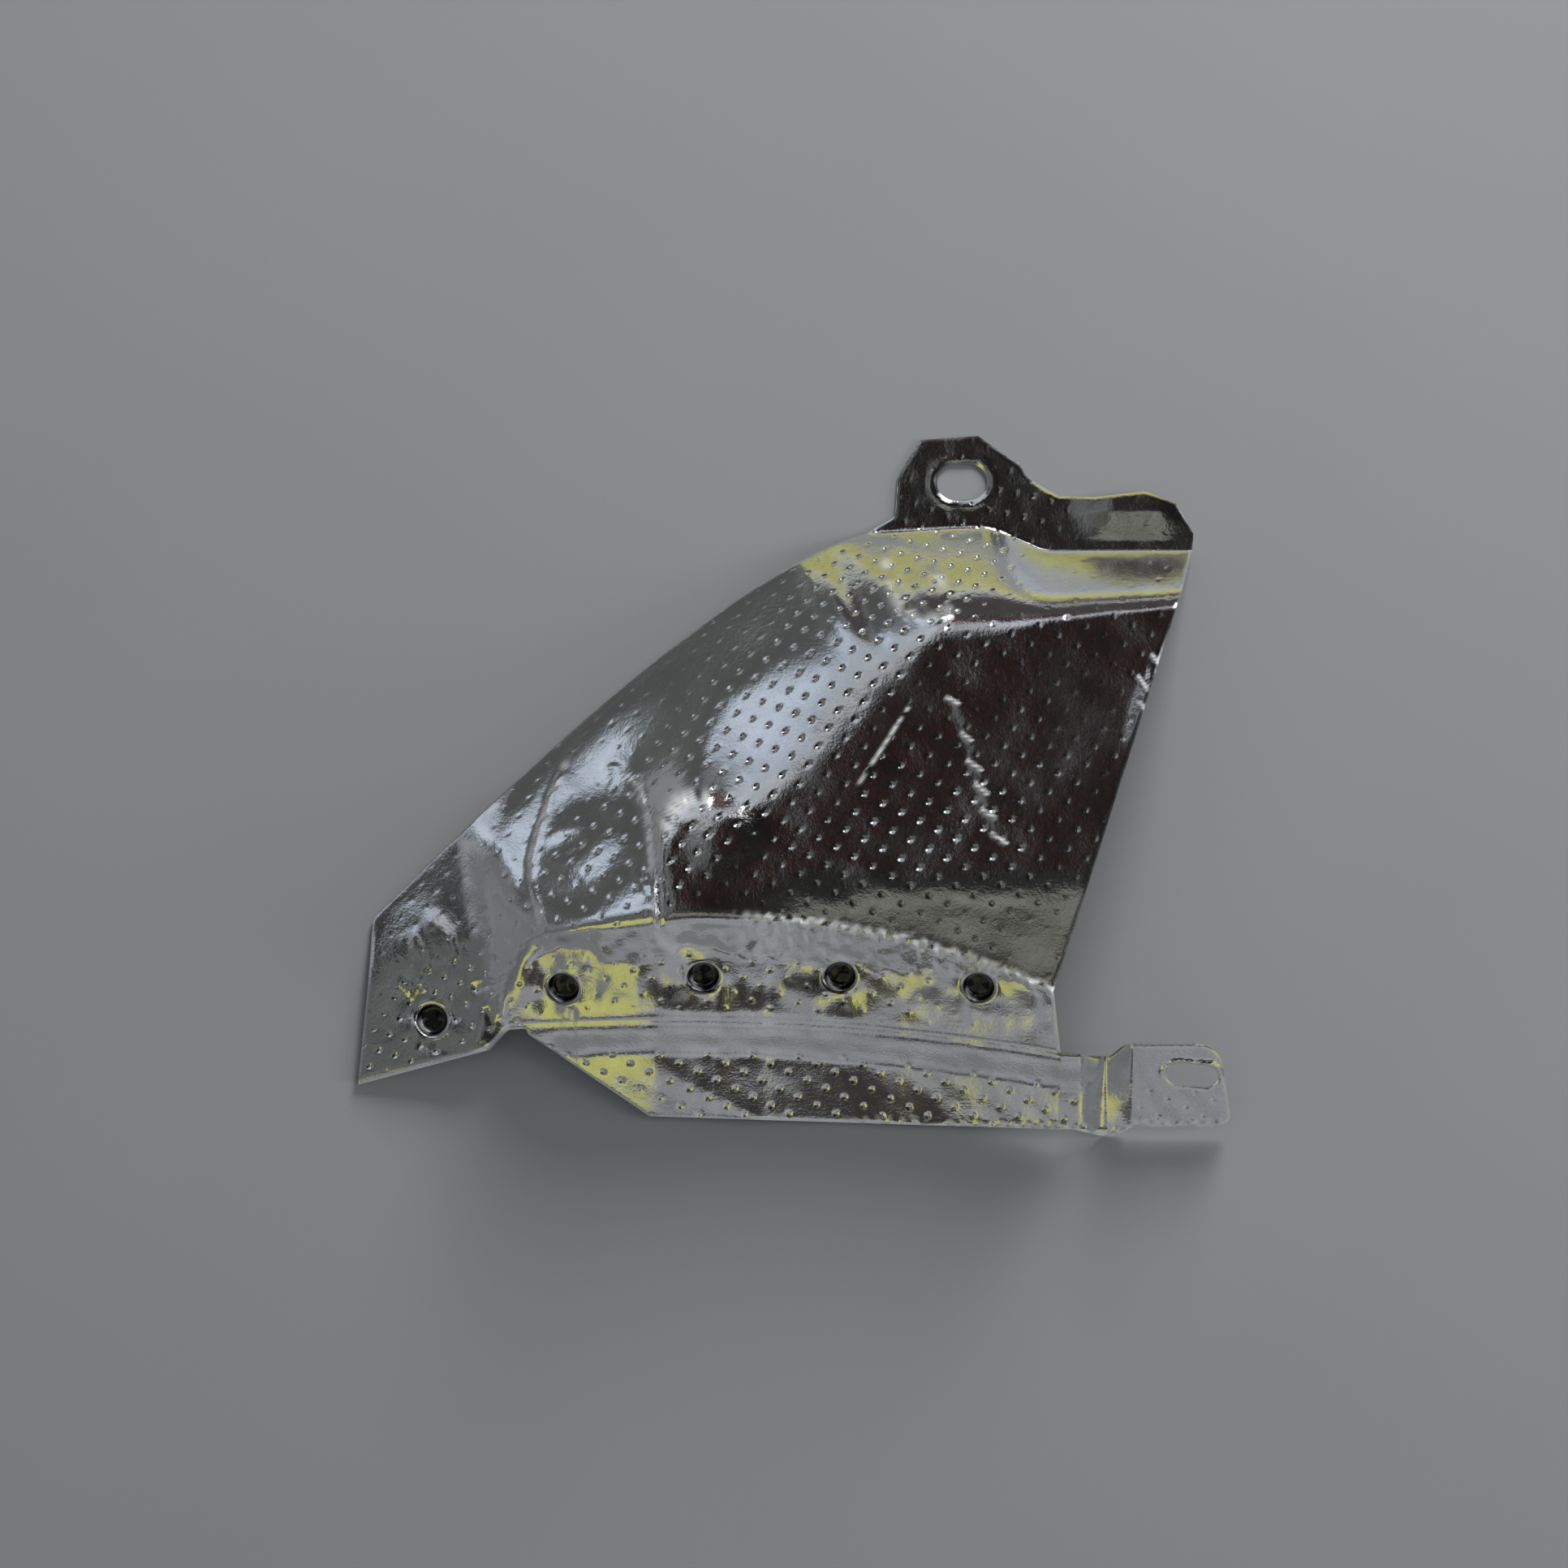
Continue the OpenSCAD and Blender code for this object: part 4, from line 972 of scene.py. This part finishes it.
# Bright rolled aluminium: mirror-like, with smears, foil crinkles, pit bowls, a bright worn edge, and painted
# shade that turns the inside of each clinch cup nearly black
def sheetMaterial(name, look):
    material = bpy.data.materials.new(name)
    material.use_nodes = True
    tree = material.node_tree
    tree.nodes.clear()
    place = addNode(tree, "ShaderNodeTexCoord").outputs["Object"]
    sheetUv = addNode(tree, "ShaderNodeUVMap", uv_map="sheetMap").outputs["UV"]
    share = addNode(tree, "ShaderNodeAttribute", attribute_name="dimpleShare").outputs["Fac"]
    edge = addNode(tree, "ShaderNodeAttribute", attribute_name="edgeDistance").outputs["Fac"]
    scuff = addNode(tree, "ShaderNodeAttribute", attribute_name="scuff").outputs["Fac"]
    cup = addNode(tree, "ShaderNodeAttribute", attribute_name="cup").outputs["Fac"]
    smears = useGroup(tree, "smears", {"Place": place, "Scale": look["smearScale"], "Low": look["rough"][0],
                                       "High": look["rough"][1]}).outputs
    worn = mapNode(tree, edge, look["edgeWidth"], (1.0, 0.0))
    colour = mixNode(tree, smears["Mask"], look["bright"], look["dull"])
    colour = mixNode(tree, worn, colour, look["edge"])
    # Painted shade: the cup attribute turns the base colour nearly black inside the clinch cups
    colour = mixNode(tree, cup, colour, look["cup"])
    rough = mathNode(tree, "MULTIPLY_ADD", worn, look["edgeRough"], smears["Roughness"])
    # Scuffs make the sheet dull and white; in the cups and along the fold ridge this stands in for a painted
    # highlight
    rough = addNode(tree, "ShaderNodeMix", {0: scuff, 2: rough, 3: look["scuffRough"]},
                    data_type="FLOAT").outputs[0]
    metal = mapNode(tree, scuff, (0.0, 1.0), (1.0, look["scuffMetal"]))
    pits = useGroup(tree, "pits", {"Map": sheetUv, "Share": share, "Depth": look["pitDepth"],
                                   "Radius": look["pitRadius"]})
    grain = useGroup(tree, "grain", {"Place": place, "Crinkle": look["crinkle"], "Lines": look["lines"],
                                     "Grit": look["grit"]})
    height = mathNode(tree, "ADD", pits.outputs["Height"], grain.outputs["Height"])
    bump = addNode(tree, "ShaderNodeBump", {"Height": height, "Strength": 1.0, "Distance": metre})
    shader = addNode(tree, "ShaderNodeBsdfPrincipled", {"Base Color": colour, "Metallic": metal,
                                                        "Roughness": rough, "Normal": bump.outputs[0]})
    addNode(tree, "ShaderNodeOutputMaterial", {"Surface": shader.outputs[0]})
    return material


# cup is the painted shade colour inside the clinch cups
hoodLook = {"bright": (0.90, 0.905, 0.91, 1), "dull": (0.74, 0.745, 0.75, 1), "edge": (0.93, 0.94, 0.95, 1),
            "rough": (0.085, 0.22), "edgeRough": 0.12, "smearScale": 26.0, "pitDepth": 0.12, "pitRadius": 0.2,
            "crinkle": 0.09, "lines": 0.008, "grit": 0.035, "scuffRough": 0.36, "scuffMetal": 0.12,
            "cup": (0.05, 0.05, 0.05, 1), "edgeWidth": (0.15, 0.9)}
stripLook = dict(hoodLook, rough=(0.075, 0.2), smearScale=34.0, crinkle=0.045)
hoodPiece.data.materials.append(sheetMaterial("hoodAluminium", hoodLook))
stripPiece.data.materials.append(sheetMaterial("stripAluminium", stripLook))
print("materials made")

# The pale table top
floorLook = {"colour": (0.30, 0.305, 0.315, 1), "mottle": (0.276, 0.284, 0.293, 1), "half": 4.0}
far = floorLook["half"]
floorMesh = bpy.data.meshes.new("floor")
floorMesh.from_pydata([(-far, -far, 0), (far, -far, 0), (far, far, 0), (-far, far, 0)], [], [(0, 1, 2, 3)])
floor = bpy.data.objects.new("floor", floorMesh)
bpy.context.scene.collection.objects.link(floor)
floorMaterial = bpy.data.materials.new("tableTop")
floorMaterial.use_nodes = True
tree = floorMaterial.node_tree
tree.nodes.clear()
place = addNode(tree, "ShaderNodeTexCoord").outputs["Object"]
tone = mixNode(tree, noiseNode(tree, place, 9.0, 4.0), floorLook["colour"], floorLook["mottle"])
shader = addNode(tree, "ShaderNodeBsdfPrincipled", {"Base Color": tone, "Roughness": 0.6,
                                                    "Specular IOR Level": 0.25})
addNode(tree, "ShaderNodeOutputMaterial", {"Surface": shader.outputs[0]})
floorMesh.materials.append(floorMaterial)

# What the bright sheet mirrors: a room as soft patches on the sky, each as its azimuth (0 is +X, 90 is +Y),
# elevation, radius and softness in degrees, then its colour
room = {
    "horizon": (0.18, 0.185, 0.195), "zenith": (0.0095, 0.009, 0.0085), "from": 0.45, "to": 0.90, "sway": 0.10,
    "shadeScale": 6.0, "shade": (0.62, 1.35),
    "patches": [
        (135, 12, 22, 8, (0.085, 0.09, 0.085)), (128, 58, 12, 5, (0.47, 0.48, 0.5)),
        (131, 43, 14, 5, (0.46, 0.52, 0.6)), (160, 40, 7, 6, (0.24, 0.25, 0.27)),
        (178, 67, 17, 5, (0.12, 0.125, 0.125)), (156, 60, 7, 3, (0.035, 0.035, 0.033)),
        (195, 30, 14, 10, (0.13, 0.135, 0.14)), (88, 12, 16, 8, (0.06, 0.055, 0.055)),
        (88, 44, 15, 6, (0.045, 0.02, 0.018)), (106, 49, 9, 4, (0.42, 0.45, 0.49)),
        (90, 80, 4.0, 3, (0.026, 0.0105, 0.0098)), (200, 83, 2.2, 2, (0.032, 0.032, 0.028)),
        (-30, 82, 2.4, 2, (0.034, 0.034, 0.03)), (63, 43, 14, 3, (1.7, 1.73, 1.78)),
        (-90, 66, 9, 5, (0.21, 0.21, 0.185)), (-88, 24, 28, 7, (0.28, 0.285, 0.3)),
        (-131, 49, 9, 2, (0.5, 0.5, 0.17)), (-121, 34, 9, 3, (0.52, 0.52, 0.17)),
        (-112, 42, 4.5, 1.5, (0.5, 0.5, 0.17)), (-112, 19, 4.5, 2, (0.05, 0.045, 0.03)),
        (-86, 53, 9.3, 2.5, (0.035, 0.032, 0.03)), (-102, 49, 6.5, 2.5, (0.045, 0.04, 0.03)),
        (-101, 21, 4.5, 2, (0.05, 0.045, 0.04)), (-66, 35, 7, 1.5, (0.48, 0.48, 0.17)),
        (5, 28, 12, 8, (0.8, 0.82, 0.85)),
    ],
}
plainSky = {"camera": (0.80, 0.81, 0.83, 1), "light": (0.26, 0.27, 0.28, 1)}

world = bpy.data.worlds.new("studio")
bpy.context.scene.world = world
world.use_nodes = True
tree = world.node_tree
tree.nodes.clear()
direct = addNode(tree, "ShaderNodeTexCoord").outputs["Generated"]
cloud = addNode(tree, "ShaderNodeTexNoise", {"Vector": direct, "Scale": 5.0, "Detail": 3.0})
centred = vectorNode(tree, "SUBTRACT", cloud.outputs["Color"], (0.5, 0.5, 0.5))
swayed = addNode(tree, "ShaderNodeVectorMath", {0: centred, "Scale": room["sway"]},
                 operation="SCALE").outputs[0]
ray = vectorNode(tree, "NORMALIZE", vectorNode(tree, "ADD", direct, swayed))
height = addNode(tree, "ShaderNodeSeparateXYZ", {0: ray}).outputs["Z"]
rise = mapNode(tree, height, (room["from"], room["to"]), (0.0, 1.0), True)
seen = mixNode(tree, rise, room["horizon"] + (1,), room["zenith"] + (1,))
for a, e, radius, soft, colour in room["patches"]:
    aim = (cosd(e) * cosd(a), cosd(e) * sind(a), sind(e))
    near = addNode(tree, "ShaderNodeVectorMath", {0: ray, 1: aim}, operation="DOT_PRODUCT").outputs["Value"]
    spot = mapNode(tree, near, (cosd(radius + soft), cosd(radius - soft / 2)), (0.0, 1.0), True)
    seen = mixNode(tree, spot, seen, colour + (1,))
shade = mapNode(tree, noiseNode(tree, direct, room["shadeScale"], 4.0), (0.3, 0.7), room["shade"])
seen = addNode(tree, "ShaderNodeVectorMath", {0: seen, "Scale": shade}, operation="SCALE").outputs[0]
path = addNode(tree, "ShaderNodeLightPath").outputs
plain = mixNode(tree, path["Is Camera Ray"], plainSky["light"], plainSky["camera"])
seen = mixNode(tree, path["Is Glossy Ray"], plain, seen)
sky = addNode(tree, "ShaderNodeBackground", {"Color": seen, "Strength": 1.0})
addNode(tree, "ShaderNodeOutputWorld", {"Surface": sky.outputs[0]})

# Striped cards behind the shield that only the mirror sheet sees: where they stand, from left to right,
# and their colours at heights in millimetres
cards = [
    {"name": "farCard", "x": (-30, 58), "y": 98.5,
     "rows": [(0.5, (0.25, 0.26, 0.28)), (3.2, (0.28, 0.29, 0.31)), (3.6, (0.50, 0.49, 0.16)),
              (6.8, (0.50, 0.49, 0.16)), (7.1, (0.07, 0.06, 0.04)), (8.3, (0.09, 0.08, 0.05)),
              (8.7, (0.52, 0.51, 0.17)), (13.0, (0.50, 0.49, 0.18)), (13.6, (0.44, 0.49, 0.57)),
              (16.0, (0.40, 0.44, 0.50)), (20.0, (0.07, 0.05, 0.05)), (24.0, (0.05, 0.03, 0.03))]},
    {"name": "nearCard", "x": (59, 118), "y": 75.5,
     "rows": [(0.5, (0.36, 0.38, 0.42)), (6.4, (0.40, 0.43, 0.48)), (6.9, (0.52, 0.51, 0.16)),
              (12.6, (0.50, 0.49, 0.17)), (13.2, (0.20, 0.20, 0.21)), (17.0, (0.07, 0.05, 0.05)),
              (20.0, (0.05, 0.03, 0.03))]},
]
for card in cards:
    points = [(x * metre, card["y"] * metre, z * metre) for z, _ in card["rows"] for x in card["x"]]
    mesh = bpy.data.meshes.new(card["name"])
    quads = [(2 * k, 2 * k + 1, 2 * k + 3, 2 * k + 2) for k in range(len(card["rows"]) - 1)]
    mesh.from_pydata(points, [], quads)
    tints = [channel for _, colour in card["rows"] for _ in card["x"] for channel in colour + (1.0,)]
    mesh.attributes.new("tint", "FLOAT_COLOR", "POINT").data.foreach_set("color", tints)
    standing = bpy.data.objects.new(card["name"], mesh)
    bpy.context.scene.collection.objects.link(standing)
    standing.visible_camera = standing.visible_diffuse = standing.visible_shadow = False
    glow = bpy.data.materials.new(card["name"])
    glow.use_nodes = True
    glow.node_tree.nodes.clear()
    tint = addNode(glow.node_tree, "ShaderNodeAttribute", attribute_name="tint").outputs["Color"]
    light = addNode(glow.node_tree, "ShaderNodeEmission", {"Color": tint, "Strength": 1.0})
    addNode(glow.node_tree, "ShaderNodeOutputMaterial", {"Surface": light.outputs[0]})
    mesh.materials.append(glow)

# Soft lamps that the mirror sheet does not see: distance, azimuth, elevation, size and power of each
lamps = [
    {"name": "keyLamp", "distance": 1.6, "azimuth": 72, "elevation": 20, "size": 0.5, "power": 33.0},
    {"name": "sideLamp", "distance": 1.6, "azimuth": 3, "elevation": 18, "size": 0.5, "power": 10.0},
]
for lampLook in lamps:
    lamp = bpy.data.lights.new(lampLook["name"], "AREA")
    lamp.energy, lamp.size, lamp.color = lampLook["power"], lampLook["size"], (1.0, 0.99, 0.97)
    lampObject = bpy.data.objects.new(lampLook["name"], lamp)
    a, e, r = lampLook["azimuth"], lampLook["elevation"], lampLook["distance"]
    lampObject.location = (r * cosd(e) * cosd(a), r * cosd(e) * sind(a), r * sind(e))
    lampObject.rotation_euler = (math.radians(90 - e), 0, math.radians(a + 90))
    lampObject.visible_glossy = False
    bpy.context.scene.collection.objects.link(lampObject)

# Camera straight above, far away with a long lens; the frame is 386.4 mm wide
view = {"distance": 4.0, "width": 0.3864, "x": -0.0025, "y": 0.0005}
camera = bpy.data.cameras.new("camera")
camera.sensor_width = 36.0
camera.lens = 36.0 * (view["distance"] - 0.012) / view["width"]
camera.clip_end = 20.0
cameraObject = bpy.data.objects.new("camera", camera)
cameraObject.location = (view["x"], view["y"], view["distance"])
bpy.context.scene.collection.objects.link(cameraObject)
bpy.context.scene.camera = cameraObject
bpy.context.scene.view_settings.view_transform = "Standard"
print("stage set")
